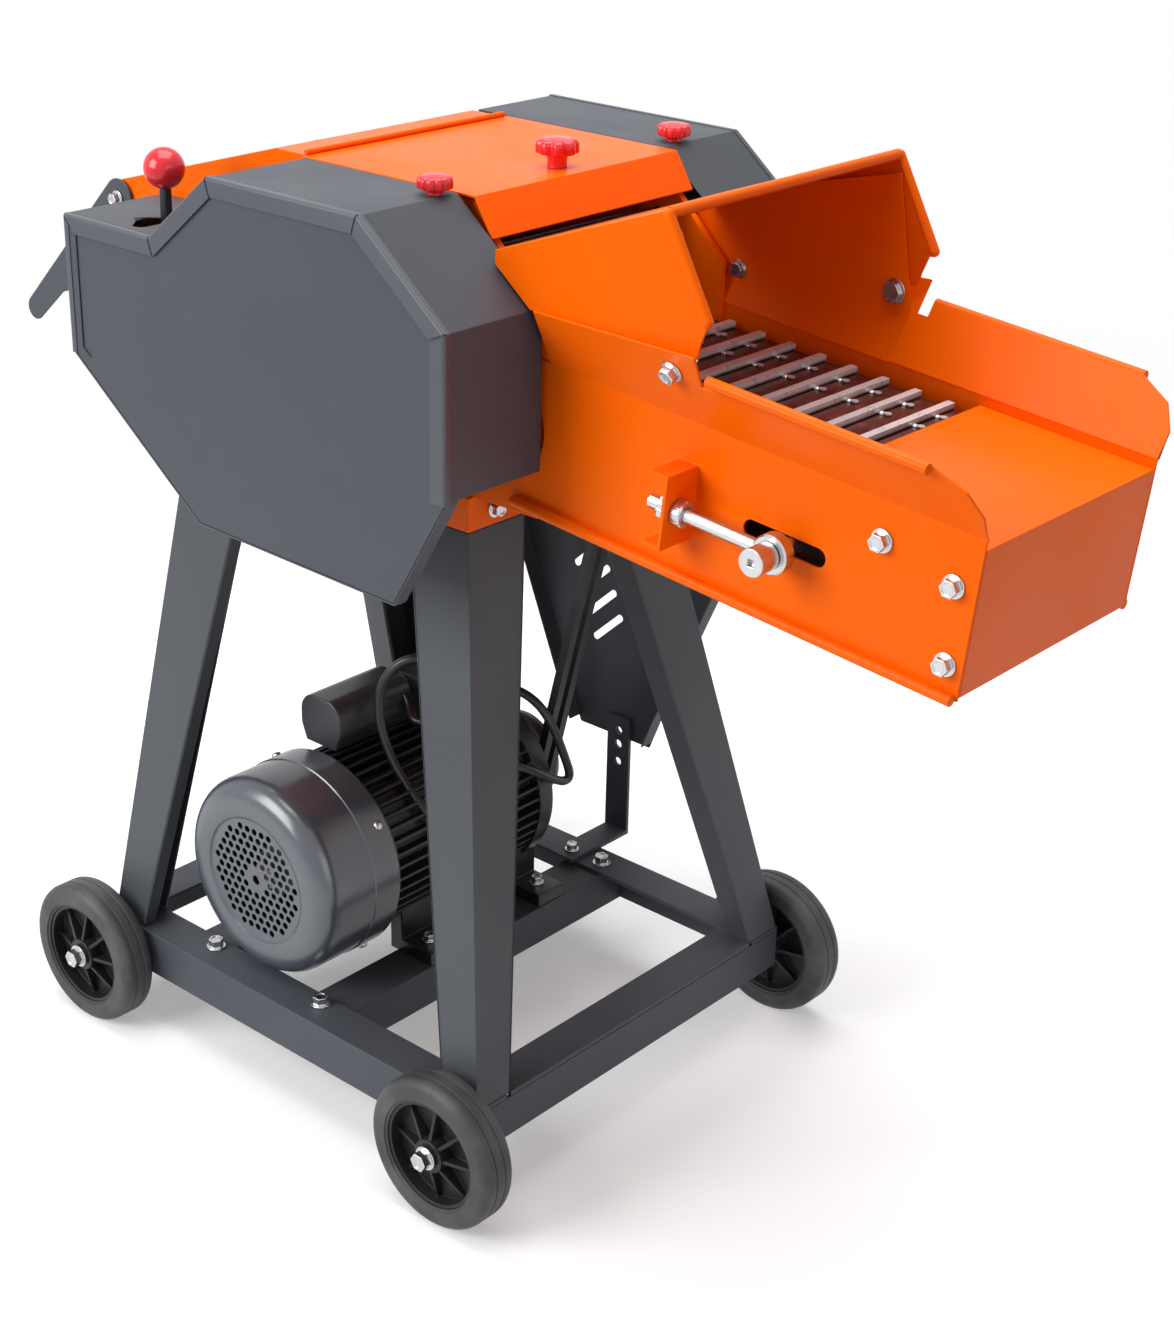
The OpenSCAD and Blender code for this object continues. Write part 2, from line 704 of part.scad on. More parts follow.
// Fasteners that stay put share one node.
module bolts() color(zinc) seat() {
  for (s = [-1, 1]) {
    for (sx = [-1, 1]) {
      y = s * (wheel_out_y + 1);
      bar_y(sx * wheel_x, wheel_d / 2, axle_r, min(s * (base_w / 2 - 10), y), max(s * (base_w / 2 - 10), y));
      translate([sx * wheel_x, y, wheel_d / 2]) rotate([-90 * s, 0, 0]) bolt_head(axle_d);
    }
  }
  for (x = [rail_rear_x + 12, rail_front_x - 1]) translate([x, -base_w / 2 + 24, base_top]) bolt_head(10);
  translate([rail_front_x + 12, base_w / 2 - 22, base_top]) bolt_head(10);
  translate([strap_x, strap_bolt_y, base_top + strap_t]) bolt_head(8);
  for (sx = [-1, 1], sy = [-1, 1])
    translate([motor_x + sx * foot_a / 2, foot_mid_y + sy * foot_b / 2, rail_top + foot_t]) bolt_head(8);
  both_sides() {
    bar_y(flap_x, flap_z, 4, -side_y - 6, -side_y + 2);
    translate([flap_x, -side_y - 6 - eps, flap_z]) rotate([90, 0, 0]) bolt_head(8);
  }
  translate([leg_top_front_x, -leg_top_y + 28, leg_top + 13]) rotate([0, 90, 0]) bolt_head(9);
  translate([leg_top_front_x, leg_top_y - 28, leg_top + 13]) rotate([0, 90, 0]) bolt_head(9);
  feed_frame() both_sides() {
    for (p = [[312, 85], [368, 75], [372, 22]]) translate([p[0], -feed_wall_y, p[1]]) rotate([90, 0, 0]) bolt_head(10);
    flare_bolt(148, 44);
    for (u = [bracket_u - 8, bracket_u + bracket_t + 0.5]) translate([u, -rod_y, chain_w]) rotate([0, 90, 0]) rod_nut();
  }
  feed_frame() mirror([0, 1, 0]) flare_bolt(38, 36);
}

// A bolt in the flared part of a feed wall, this far along it and up its slope.
module flare_bolt(u, rise) translate([u, -feed_wall_y, feed_crease]) rotate([flare_angle, 0, 0])
  translate([0, 0, rise]) rotate([90, 0, 0]) bolt_head(10);

// The nuts stay against the bracket while the rod slides through them.
module rod_nut() difference() {
  cylinder(r = 10, h = 7.5, $fn = 6);
  translate([0, 0, -1]) cylinder(r = rod_r + fit, h = 10);
}

module lid_hinge_rod() color(steel) seat() {
  bar_y(seam_x, roof_z + hinge_r, hinge_r, -side_y - 2, side_y + 2);
}

// Bearings of the rotor shaft and of the head shaft on the side plates.
module flange_bearing(x, z, r, bore_r, y) difference() {
  union() {
    bar_y(x, z, r, y - bearing_t, y);
    sheet_xz(y - 6, 6) hull() for (a = [0:90:270]) translate([x, z] + r * 1.05 * [cos(a), sin(a)]) circle(r = 6);
  }
  bar_y(x, z, bore_r + fit, y - bearing_t - 1, y + 1);
}

module bearings() color(steel) seat() both_sides() {
  flange_bearing(rotor_x, rotor_z, 32, rotor_shaft_r, -side_y);
  flange_bearing(head_x, head_z, head_bearing_r, feed_shaft_r, -side_y);
}

// Gearbox on the left side plate, between rotor shaft, head shaft and shift lever.
module gearbox_case() color(steel) seat() {
  lever_pin();
  gearbox_block();
}

module gearbox_block() difference() {
  y0 = left_out_y + 30;
  y1 = -side_y - bearing_t - 4;
  union() {
    sheet_xz(y0, y1 - y0) hull() {
      translate([rotor_x, rotor_z]) circle(r = 44);
      translate([head_x, head_z]) circle(r = 32);
      translate([lever_x, 600]) circle(r = 36);
    }
    translate([lever_x - 20, lever_y - 12, 600]) cube([40, 24, lever_pivot_z + 10 - 600]);
  }
  bar_y(rotor_x, rotor_z, rotor_shaft_r + fit, y1 - 30, y1 + 1);
  bar_y(head_x, head_z, feed_shaft_r + fit, y1 - 30, y1 + 1);
  translate([lever_x - lever_eye_r - gap, lever_y - 20, lever_pivot_z - 14]) cube([2 * (lever_eye_r + gap), 40, 40]);
}

// The pin that the shift lever turns on.
module lever_pin() translate([lever_x - 20, lever_y, lever_pivot_z]) rotate([0, 90, 0]) cylinder(r = 4, h = 40);

// Springs that pull the roller carriers down.
module float_springs() color(steel) seat() both_sides()
  translate([upper_x - 30, -side_y - 8, spring_low]) cylinder(r = 6, h = upper_z - 12 - spring_low);

// Motor

module motor_body() color(black) seat() {
  y0 = fan_face_y + fan_cover_l;
  y1 = drive_face_y;
  core = motor_r - 10;
  difference() {
    union() {
      translate([motor_x, y1 - 22, motor_z]) rotate([90, 0, 0]) linear_extrude(y1 - 22 - y0) union() {
        circle(r = core);
        for (i = [0:fin_n - 1]) rotate(360 / fin_n * (i + 0.5)) translate([core - 1, -1.5]) square([11, 3]);
      }
      bar_y(motor_x, motor_z, motor_r + 2, y1 - 22.5, y1 - 6);
      bar_y(motor_x, motor_z, 60, y1 - 7, y1);
      bar_y(motor_x, motor_z, fan_cover_r - sheet_t - 0.3, y0 - 10, y0 + 4);
      for (sx = [-1, 1], sy = [-1, 1]) translate([motor_x + sx * foot_a / 2, foot_mid_y + sy * foot_b / 2, rail_top])
        translate([-18, -16, 0]) cube([36, 32, foot_t]);
      for (sx = [-1, 1]) translate([motor_x + sx * 52 - 7, foot_mid_y - foot_b / 2 - 16, rail_top])
        cube([14, foot_b + 32, 48]);
      translate([motor_x - 20, 34, motor_z + 50]) cube([40, 44, box_seat_z - motor_z - 50]);
      translate([motor_x - 34, -56, motor_z + 50]) cube([24, 40, box_seat_z - motor_z - 50]);
    }
    bar_y(motor_x, motor_z, motor_shaft_d / 2 + fit, y0 - 20, y1 + 1);
  }
}

module motor_shaft() color(steel) seat()
  bar_y(motor_x, motor_z, motor_shaft_d / 2, fan_face_y + 12, drive_face_y + shaft_out);

// Cooling fan inside the cover: a disc with straight blades.
module motor_fan() color(black) seat() translate([motor_x, fan_face_y + 24, motor_z]) rotate([-90, 0, 0])
  difference() {
    union() {
      cylinder(r = 22, h = 30);
      translate([0, 0, 26]) cylinder(r = fan_cover_r - 14, h = 4);
      for (i = [0:6]) rotate(360 / 7 * i) translate([14, -1.5, 4]) cube([fan_cover_r - 30, 3, 24]);
    }
    translate([0, 0, -1]) cylinder(d = motor_shaft_d, h = 40);
  }

module fan_cover() color([0.2, 0.21, 0.23]) seat() translate([motor_x, fan_face_y, motor_z]) rotate([-90, 0, 0])
  difference() {
    r = fan_cover_r;
    t = 1.5;
    c = 14;
    rotate_extrude($fn = 96) union() {
      difference() {
        union() {
          translate([0, 0]) square([r - c, t]);
          translate([r - c, c]) circle(r = c);
          translate([r - t, c]) square([t, fan_cover_l - c]);
          translate([r - t, fan_cover_l - 26]) square([t + 1, 26]);
        }
        translate([r - c, c]) circle(r = c - t);
        translate([r - c - 2 * c, t]) square([2 * c, 3 * c]);
        translate([r - 2 * c, c]) square([2 * c - t, 2 * c]);
        translate([-1 - 2 * c, -1]) square([2 * c + 1, 50]);
      }
    }
    for (k = [1:5]) for (i = [0:7 + 6 * k]) rotate(360 / (8 + 6 * k) * i) translate([4 + 11 * k, 0, -1])
      cylinder(r = 2.9, h = 4, $fn = 16);
    translate([0, 0, -1]) cylinder(r = 5, h = 4);
  }

module capacitor_box() color(black) seat() translate([motor_x - 22, -74, box_seat_z]) hull() {
  for (x = [-8, 8], z = [18, 28]) translate([x, 0, z]) rotate([-90, 0, 0]) cylinder(r = 16, h = 84, $fn = 32);
  translate([-18, 0, 0]) cube([36, 84, 4]);
}

module terminal_box() color(black) seat() translate([motor_x - 34, 20, box_seat_z]) cube([70, 72, 38]);

cable_a = [
  [motor_x + 36, 50, 292], [motor_x + 46, 50, 292], [motor_x + 58, 36, 300], [motor_x + 62, 18, 296],
  [motor_x + 66, 2, 280], [motor_x + 76, -8, 262], [motor_x + 84, -8, 244], [motor_x + 84, 8, 232],
  [motor_x + 76, 26, 236], [motor_x + 66, 40, 250], [motor_x + 58, 54, 268], [motor_x + 48, 62, 282],
  [motor_x + 36, 62, 282]
];

module motor_cables() color(black) seat() tube(cable_a, 3.5);

// Slat chain

// The loop is laid link by link: a straight run, half a wheel, the lower run and the other wheel.
half_teeth = wheel_teeth / 2;
link_n = 2 * run_links + 2 * half_teeth;
function wheel_pin(u, i) = let (a = (i + 0.5) * 360 / wheel_teeth)
  [u + chain_r * sin(a), chain_w + chain_r * cos(a)];
function pin_at(i) = let (i = i % link_n, top = chain_w + chain_wheel_h, low = chain_w - chain_wheel_h)
  i < run_links ? [head_u + (i + 0.5) * chain_pitch, top] :
  i < run_links + half_teeth ? wheel_pin(idler_u, i - run_links) :
  i < 2 * run_links + half_teeth ? [idler_u - (i - run_links - half_teeth + 0.5) * chain_pitch, low] :
  wheel_pin(head_u, i - 2 * run_links);

// One link between two pins: its plates in both strands and the slat riveted on them.
module link(i) {
  a = pin_at(i);
  b = pin_at(i + 1);
  step = b - a;
  inner = i % 2 == 0;
  translate([a[0], 0, a[1]]) rotate([0, -atan2(step[1], step[0]), 0]) {
    for (s = [-1, 1], side = [-1, 1]) translate([0, s * strand_y + side * (inner ? 4 : 5.8), 0])
      rotate([90, 0, 0]) linear_extrude(1.5, center = true) link_plate();
    translate([chain_pitch / 2, 0, link_plate_r - 0.4]) slat();
  }
}

module link_plate() {
  circle(r = link_plate_r, $fn = 12);
  translate([chain_pitch, 0]) circle(r = link_plate_r, $fn = 12);
  translate([0, -link_plate_r * cos(15)]) square([chain_pitch, 2 * link_plate_r * cos(15)]);
}

// A slat is a flat bar with a ridge along one edge and four rivets.
module slat() {
  w = chain_pitch - slat_gap;
  translate([-w / 2, -slat_l / 2, 0]) cube([w, slat_l, slat_t]);
  translate([w / 2 - ridge_w, -slat_l / 2, slat_t - eps]) cube([ridge_w, slat_l, ridge_h]);
  for (side = [-1, 1], off = [-19, 9])
    translate([-8.5, side * (strand_y + off), slat_t - eps]) cylinder(r = 2.8, h = 2, $fn = 12);
}

module slat_chain() color(maroon) seat() feed_frame() for (i = [0:link_n - 1]) {
  link(i);
  p = pin_at(i);
  for (s = [-1, 1]) translate([p[0], s * strand_y, p[1]]) rotate([90, 0, 0])
    cylinder(r = roller_r, h = 13.6, center = true, $fn = 24);
}

// Belts

belt_dx = rotor_x - motor_x;
belt_dz = rotor_z - motor_z;
belt_c = norm([belt_dx, belt_dz]);

module belt_loop(r0, r1) hull() {
  translate([motor_x, motor_z]) circle(r = motor_pulley_r + r0, $fn = 64);
  translate([rotor_x, rotor_z]) circle(r = main_pulley_r + r0, $fn = 96);
}

module v_belts() color(black) seat() for (s = [-0.5, 0.5]) sheet_xz(belt_y + s * belt_pitch - 4, 8) difference() {
  belt_loop(5, 0);
  belt_loop(-3, 0);
}

module grooved_pulley(r, y, bore_r, rim) difference() {
  rotate([-90, 0, 0]) rotate_extrude($fn = 96) polygon([
    [bore_r, y - 18], [r + 5, y - 18],
    for (s = [-0.5, 0.5]) each [
      [r + 5, y + s * belt_pitch - 6], [r - 3 - gap, y + s * belt_pitch - 4 - gap],
      [r - 3 - gap, y + s * belt_pitch + 4 + gap], [r + 5, y + s * belt_pitch + 6]
    ],
    [r + 5, y + 18], [bore_r, y + 18]
  ]);
  if (rim) for (i = [0:4]) rotate([0, 72 * i, 0]) translate([r * 0.55, y - 30, 0]) rotate([-90, 0, 0])
    cylinder(r = r * 0.2, h = 60);
}

module main_pulley() color(steel) seat() translate([rotor_x, 0, rotor_z])
  grooved_pulley(main_pulley_r, belt_y, rotor_shaft_r, true);

module motor_pulley() color(steel) seat() translate([motor_x, 0, motor_z])
  grooved_pulley(motor_pulley_r, belt_y, motor_shaft_d / 2, false);

// Rotor

// The shaft carries three discs, each with an arm for every knife.
module rotor_shaft() color(steel) seat() {
  bar_y(rotor_x, rotor_z, rotor_shaft_r, -side_y - 40, belt_y + 26);
  for (y = rotor_disc_y) sheet_xz(y - rotor_disc_t / 2, rotor_disc_t) translate([rotor_x, rotor_z]) rotor_disc();
}

module rotor_disc() {
  circle(r = rotor_disc_r);
  for (i = [0:knife_n - 1]) rotate(-knife_angle(i)) translate([rotor_disc_r / 2, -6])
    square([rotor_r - 8 - rotor_disc_r / 2, 6 + knife_seat]);
}

function knife_angle(i) = 360 / knife_n * i + 20;

module at_knives() translate([rotor_x, 0, rotor_z]) for (i = [0:knife_n - 1])
  rotate([0, knife_angle(i), 0]) children();

module rotor_knives() color(steel) seat() at_knives() difference() {
  translate([rotor_r - knife_w - 2, -inner_y + 4, knife_seat]) cube([knife_w, 2 * inner_y - 8, knife_t]);
  for (y = rotor_disc_y) translate([rotor_r - knife_w / 2 - 4, y, -2]) cylinder(r = 4, h = 30, $fn = 24);
}

// Feed shafts

// A chain wheel whose teeth stand between the rollers.
module chain_wheel(y) translate([0, y, 0]) rotate([90, 0, 0]) linear_extrude(5.5, center = true) difference() {
  circle(r = chain_r + 1);
  for (i = [0:wheel_teeth - 1]) rotate((i + 0.5) * 360 / wheel_teeth) translate([0, chain_r]) {
    circle(r = roller_r + gap);
    translate([-roller_r - gap, 0]) square([2 * (roller_r + gap), 20]);
  }
}

module feed_head_shaft() color(steel) seat() feed_frame() translate([head_u, 0, chain_w]) {
  bar_y(0, 0, feed_shaft_r, -side_y - 40, side_y + bearing_t + 2);
  for (s = [-1, 1]) chain_wheel(s * strand_y);
}

module upper_roller() color(steel) seat() {
  bar_y(upper_x, upper_z, feed_shaft_r, -side_y - 16, side_y + 16);
  translate([upper_x, inner_y - 6, upper_z]) rotate([90, 0, 0]) linear_extrude(2 * (inner_y - 6)) union() {
    circle(r = upper_r - 9);
    for (i = [0:11]) rotate(30 * i) translate([upper_r - 11, -2.5]) square([11, 5]);
  }
}

module roller_carriers() color(steel) seat() both_sides() difference() {
  union() {
    sheet_xz(-side_y - 12, 12 - gap) translate([upper_x - 18, upper_z - 18]) square([36, 36]);
    sheet_xz(-side_y - 12, 12 - gap) translate([upper_x - 38, upper_z - 12]) square([30, 10]);
  }
  bar_y(upper_x, upper_z, feed_shaft_r + fit, -side_y - 20, -side_y + 5);
}

module tension_rods() color(zinc) seat() feed_frame() both_sides() {
  y = -rod_y;
  translate([140, y, chain_w]) rotate([0, 90, 0]) cylinder(r = rod_r, h = idler_u - 140 - 14);
  difference() {
    translate([idler_u, y - 6, chain_w]) rotate([-90, 0, 0]) cylinder(r = 20, h = 12);
    translate([idler_u, y - 7, chain_w]) rotate([-90, 0, 0]) cylinder(r = tension_shaft_r + fit, h = 14);
  }
}

module tension_shaft() color(zinc) seat() feed_frame() translate([idler_u, 0, chain_w]) {
  reach = feed_wall_y + 30;
  bar_y(0, 0, tension_shaft_r, -reach, reach);
  for (s = [-1, 1]) chain_wheel(s * strand_y);
}

// Lid, knobs, lever and flap

lid_bend_x = 149;
lid_front = [166, 746];
module lid() color(orange) seat() difference() {
  y = side_y + 6;
  t = 2;
  sheet_xz(-y, 2 * y) polygon([
    [seam_x + gap, roof_z], [lid_bend_x, roof_z], lid_front, [lid_front[0] - 1.7, lid_front[1] - 1.1],
    [lid_bend_x - 1.2, roof_z - t], [seam_x + gap, roof_z - t]
  ]);
  translate([knob_x, 0, roof_z - 10]) cylinder(r = stud_r + fit, h = 20);
}

module lid_knob() color(red) seat() translate([knob_x, 0, roof_z + gap]) star_knob(lid_knob_d, 7, 10, 14);

module left_cover_knob() color(red) seat() translate([knob_x, -left_knob_y, roof_z + gap]) star_knob(knob_d, 8, 4, 14);

module right_cover_knob() color(red) seat() translate([knob_x, right_knob_y, roof_z + gap]) star_knob(knob_d, 8, 4, 14);

module shift_lever() color(black) seat() translate([lever_x, lever_y, lever_pivot_z]) difference() {
  union() {
    cylinder(r = lever_r, h = ledge_z + 30 - lever_pivot_z);
    translate([-lever_eye_r, 0, 0]) rotate([0, 90, 0]) cylinder(r = lever_eye_r, h = 2 * lever_eye_r);
  }
  translate([-lever_eye_r - 1, 0, 0]) rotate([0, 90, 0]) cylinder(r = 4 + fit, h = 2 * lever_eye_r + 2);
}

module lever_ball() color(red) seat() translate([lever_x, lever_y, ledge_z + 24 + ball_d / 2]) difference() {
  sphere(d = ball_d, $fn = 64);
  translate([0, 0, -ball_d]) cylinder(r = lever_r, h = ball_d + 2);
}

// Discharge flap: two cheeks and the plate between them.
module discharge_flap() color(dark) seat() translate([flap_x, 0, flap_z]) rotate([0, -flap_droop, 0]) {
  y = side_y + 6;
  t = 2;
  both_sides() difference() {
    sheet_xz(-y, t) union() {
      circle(r = 16);
      polygon([[0, 16], [-flap_l, 10], [-flap_l, -10], [0, -16]]);
      translate([-flap_l, 0]) circle(r = flap_tip_r);
    }
    bar_y(0, 0, 4 + fit, -y - 1, -y + t + 1);
  }
  translate([-flap_l, -y, 8]) cube([flap_l - 6, 2 * y, t]);
}

// Wheels

// The tread has a raised band between two grooves, and its shoulders are round.
module tyre() rotate([90, 0, 0]) rotate_extrude($fn = 96) {
  r = wheel_d / 2;
  w = wheel_w / 2;
  bead = rim_d / 2;
  difference() {
    union() {
      translate([bead, 1.5 - w]) square([r - tyre_shoulder - bead, 2 * w - 3]);
      translate([bead + 2, -w]) square([r - tyre_shoulder - bead - 2, 2 * w]);
      translate([bead, tyre_shoulder - w]) square([r - bead, 2 * (w - tyre_shoulder)]);
      for (s = [-1, 1]) translate([r - tyre_shoulder, s * (w - tyre_shoulder)]) circle(r = tyre_shoulder, $fn = 32);
    }
    for (s = [-1, 1]) translate([r - 1, s * tread_band_w / 2 - 0.5]) square([2, 1]);
  }
}

// A deep dish: the web sits in the middle of the barrel and blade ribs run from the hub to it on both faces.
module rim() difference() {
  r = rim_d / 2;
  w = wheel_w / 2;
  union() {
    rotate([90, 0, 0]) rotate_extrude($fn = 96) {
      translate([0, 1 - w]) square([rim_hub_r, 2 * w - 2]);
      translate([r - rim_wall, rim_wall - w]) square([rim_wall, 2 * (w - rim_wall)]);
      translate([0, -rim_wall / 2]) square([r - 1, rim_wall]);
    }
    for (i = [0:rim_ribs - 1]) rotate([0, 360 / rim_ribs * i, 0]) translate([0, 0, -rim_wall / 2])
      linear_extrude(rim_wall) polygon([
        [rim_hub_r - 2, 2.5 - w], [r - rim_wall + 0.5, -5], [r - rim_wall + 0.5, 5], [rim_hub_r - 2, w - 2.5]
      ]);
  }
  rotate([90, 0, 0]) cylinder(r = axle_r + fit, h = wheel_w + 2, center = true);
}

module at_wheel(sx, sy) seat() translate([sx * wheel_x, sy * (wheel_in_y + wheel_w / 2), wheel_d / 2]) children();

module front_left_tyre() color(black) at_wheel(1, -1) tyre();
module front_left_rim() color(black) at_wheel(1, -1) rim();
module front_right_tyre() color(black) at_wheel(1, 1) tyre();
module front_right_rim() color(black) at_wheel(1, 1) rim();
module rear_left_tyre() color(black) at_wheel(-1, -1) tyre();
module rear_left_rim() color(black) at_wheel(-1, -1) rim();
module rear_right_tyre() color(black) at_wheel(-1, 1) tyre();
module rear_right_rim() color(black) at_wheel(-1, 1) rim();

base_side_rails();
base_end_rails();
motor_rails();
front_legs();
rear_legs();
left_side_plate();
right_side_plate();
lid_bar();
chamber_floor();
rear_hood();
shear_bar();
left_cover_band();
left_cover_panel();
right_cover_band();
right_cover_panel();
belt_guard();
guard_strap();
feed_left_wall();
feed_right_wall();
feed_apron();
feed_floor();
throat_shroud();
bolts();
lid_hinge_rod();
bearings();
float_springs();
gearbox_case();
motor_body();
fan_cover();
capacitor_box();
terminal_box();
motor_cables();
slat_chain();
v_belts();
rotor_shaft();
rotor_knives();
main_pulley();
motor_shaft();
motor_fan();
motor_pulley();
feed_head_shaft();
roller_carriers();
upper_roller();
tension_rods();
tension_shaft();
lid();
lid_knob();
left_cover_knob();
right_cover_knob();
shift_lever();
lever_ball();
discharge_flap();
front_left_tyre();
front_left_rim();
front_right_tyre();
front_right_rim();
rear_left_tyre();
rear_left_rim();
rear_right_tyre();
rear_right_rim();
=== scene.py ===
# %% [markdown]
# An electric chaff cutter: a powder-coated sheet steel machine on four small wheels.
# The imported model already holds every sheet, shaft and wheel at its real size, so this script never
# moves a part. It gives each one its finish, softens the folded edges as a press brake leaves them, and
# adds the small things that a drawing leaves out.

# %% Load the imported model
import json
import math

import bmesh
import bpy
from mathutils import Matrix, Vector


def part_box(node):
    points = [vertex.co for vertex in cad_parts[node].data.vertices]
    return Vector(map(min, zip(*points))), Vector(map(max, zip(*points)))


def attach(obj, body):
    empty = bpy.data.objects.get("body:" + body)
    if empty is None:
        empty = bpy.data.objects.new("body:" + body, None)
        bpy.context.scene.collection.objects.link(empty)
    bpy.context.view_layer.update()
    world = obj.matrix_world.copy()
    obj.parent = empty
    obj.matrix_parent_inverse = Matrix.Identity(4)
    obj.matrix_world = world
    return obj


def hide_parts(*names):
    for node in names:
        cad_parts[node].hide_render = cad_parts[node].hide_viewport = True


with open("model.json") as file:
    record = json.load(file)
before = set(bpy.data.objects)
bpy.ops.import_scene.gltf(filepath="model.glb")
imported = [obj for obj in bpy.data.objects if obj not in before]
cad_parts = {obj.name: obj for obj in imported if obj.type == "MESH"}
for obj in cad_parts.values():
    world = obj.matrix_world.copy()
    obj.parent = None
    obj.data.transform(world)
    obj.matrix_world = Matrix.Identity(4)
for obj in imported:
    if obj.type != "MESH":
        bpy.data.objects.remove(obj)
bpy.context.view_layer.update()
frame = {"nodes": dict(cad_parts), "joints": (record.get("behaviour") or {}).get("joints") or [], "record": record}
parts = frame["nodes"]
finish_of = {part["node"]: part["material_slot"] for part in frame["record"]["subparts"]}
joints = {joint["name"]: joint for joint in frame["joints"]}

# %% [markdown]
# The camera stands where the photographer stood: a little over the machine's tray end, on its gear side.
# Its direction is written as two angles and a slight roll, because those are what one reads off a tripod
# head. The lens follows from how large the machine is in the frame.

# %% The camera
VIEW_AZIMUTH = math.radians(40.66)
VIEW_ELEVATION = math.radians(24.58)
VIEW_ROLL = math.radians(1.43)
VIEW_DISTANCE = 1.4246
VIEW_TARGET = Vector((0.3025, -0.2726, 0.5484))
SENSOR_MM = 36
LENS_MM = 62.2
NEAREST_SEEN = 0.05


def camera_axes(azimuth, elevation, roll):
    """The camera's right, up and backward directions."""
    flat = math.cos(elevation)
    back = Vector((math.sin(azimuth) * flat, -math.cos(azimuth) * flat, math.sin(elevation)))
    level = Vector((math.cos(azimuth), math.sin(azimuth), 0))
    up = back.cross(level)
    right = level * math.cos(roll) + up * math.sin(roll)
    return right, up * math.cos(roll) - level * math.sin(roll), back


camera = bpy.data.objects.new("camera", bpy.data.cameras.new("camera"))
bpy.context.scene.collection.objects.link(camera)
right, up, back = camera_axes(VIEW_AZIMUTH, VIEW_ELEVATION, VIEW_ROLL)
turn = Matrix((right, up, back)).transposed().to_4x4()
camera.matrix_world = Matrix.Translation(VIEW_TARGET + back * VIEW_DISTANCE) @ turn
camera.data.lens = LENS_MM
camera.data.sensor_width = SENSOR_MM
camera.data.clip_start = NEAREST_SEEN
bpy.context.scene.camera = camera
print("camera at", [round(v, 3) for v in camera.location])

# %% [markdown]
# Materials are built from nodes. Each line below adds one node and plugs its sockets in, and a socket
# that gets another node's output is linked while one that gets a number is set.

# %% Helpers that add a shader node
def add(tree, kind, inputs=None, **settings):
    """Adds a node, sets its own settings, then links or sets its input sockets."""
    made = tree.nodes.new("ShaderNode" + kind)
    for name, value in settings.items():
        setattr(made, name, value)
    for key, value in (inputs or {}).items():
        if isinstance(value, bpy.types.NodeSocket):
            tree.links.new(value, made.inputs[key])
        else:
            made.inputs[key].default_value = value
    return made


def new_group(name, inputs, outputs):
    """A shader node group with number sockets, and its first and last node."""
    tree = bpy.data.node_groups.new(name, "ShaderNodeTree")
    for label, value in inputs.items():
        socket = tree.interface.new_socket(label, in_out="INPUT", socket_type="NodeSocketFloat")
        socket.default_value = value
    for label in outputs:
        tree.interface.new_socket(label, in_out="OUTPUT", socket_type="NodeSocketFloat")
    return tree, tree.nodes.new("NodeGroupInput").outputs, tree.nodes.new("NodeGroupOutput").inputs


def math_node(tree, operation, first, second):
    """The result of one sum on two values."""
    return add(tree, "Math", {0: first, 1: second}, operation=operation).outputs[0]


def noise(tree, where, scale, detail, rough=0.5):
    """A noise value at a place."""
    sockets = {"Vector": where, "Scale": scale, "Detail": detail, "Roughness": rough}
    return add(tree, "TexNoise", sockets).outputs["Fac"]


def ramp(tree, value, low=0.0, high=1.0, out_low=0.0, out_high=1.0):
    """A value's range from low to high, spread over another range and held at its ends."""
    sockets = {"Value": value, "From Min": low, "From Max": high, "To Min": out_low, "To Max": out_high}
    return add(tree, "MapRange", sockets).outputs["Result"]


# %% [markdown]
# Powder coat is plastic dust melted onto steel. It levels into a faint orange peel, and a textured coat
# freezes in fine grains. One group makes both, because they differ only in how strong each part is. Its
# tone output is the slow drift of shade that any large sprayed panel has.

# %% Coat grain
PEEL_SCALE, DRIFT_SCALE = 260.0, 4.0
COAT_INPUTS = {"Peel": 0.3, "Grain": 0.2, "Grain scale": 1400.0}


def make_coat_grain():
    tree, given, out = new_group("Coat grain", COAT_INPUTS, ["Height", "Tone"])
    place = add(tree, "TexCoord").outputs["Object"]
    peel = math_node(tree, "MULTIPLY", noise(tree, place, PEEL_SCALE, 1.0), given["Peel"])
    grain = math_node(tree, "MULTIPLY", noise(tree, place, given["Grain scale"], 2.0, 0.7), given["Grain"])
    tree.links.new(math_node(tree, "ADD", peel, grain), out["Height"])
    drift = noise(tree, place, DRIFT_SCALE, 3.0)
    tree.links.new(ramp(tree, drift, out_low=0.88, out_high=1.12), out["Tone"])
    return tree


coat_grain = make_coat_grain()
print("coat grain:", len(coat_grain.nodes), "nodes")

# %% [markdown]
# A machine that has been handled is never evenly glossy: hands leave dull patches, and packing leaves
# hair-fine rubs. Settled dust lies only on what faces up, so its mask looks at the surface's own normal.

# %% Handling marks and settled dust
HANDLING_INPUTS = {"Patch scale": 9.0, "Rub scale": 60.0}
RUB_DIRECTION, RUB_STRETCH = (0.5, 0.9, 0.4), (1.0, 0.06, 1.0)
DUST_SCALE = 14.0
DUST_COLOUR = (0.42, 0.38, 0.33, 1)


def make_handling():
    tree, given, out = new_group("Handling", HANDLING_INPUTS, ["Patches", "Rubs"])
    place = add(tree, "TexCoord").outputs["Object"]
    clouds = noise(tree, place, given["Patch scale"], 4.0)
    tree.links.new(ramp(tree, clouds, 0.42, 0.7), out["Patches"])
    stretched = add(tree, "Mapping", {"Vector": place, "Rotation": RUB_DIRECTION, "Scale": RUB_STRETCH})
    lines = noise(tree, stretched.outputs["Vector"], given["Rub scale"], 6.0, 0.75)
    tree.links.new(ramp(tree, lines, 0.66, 0.72), out["Rubs"])
    return tree


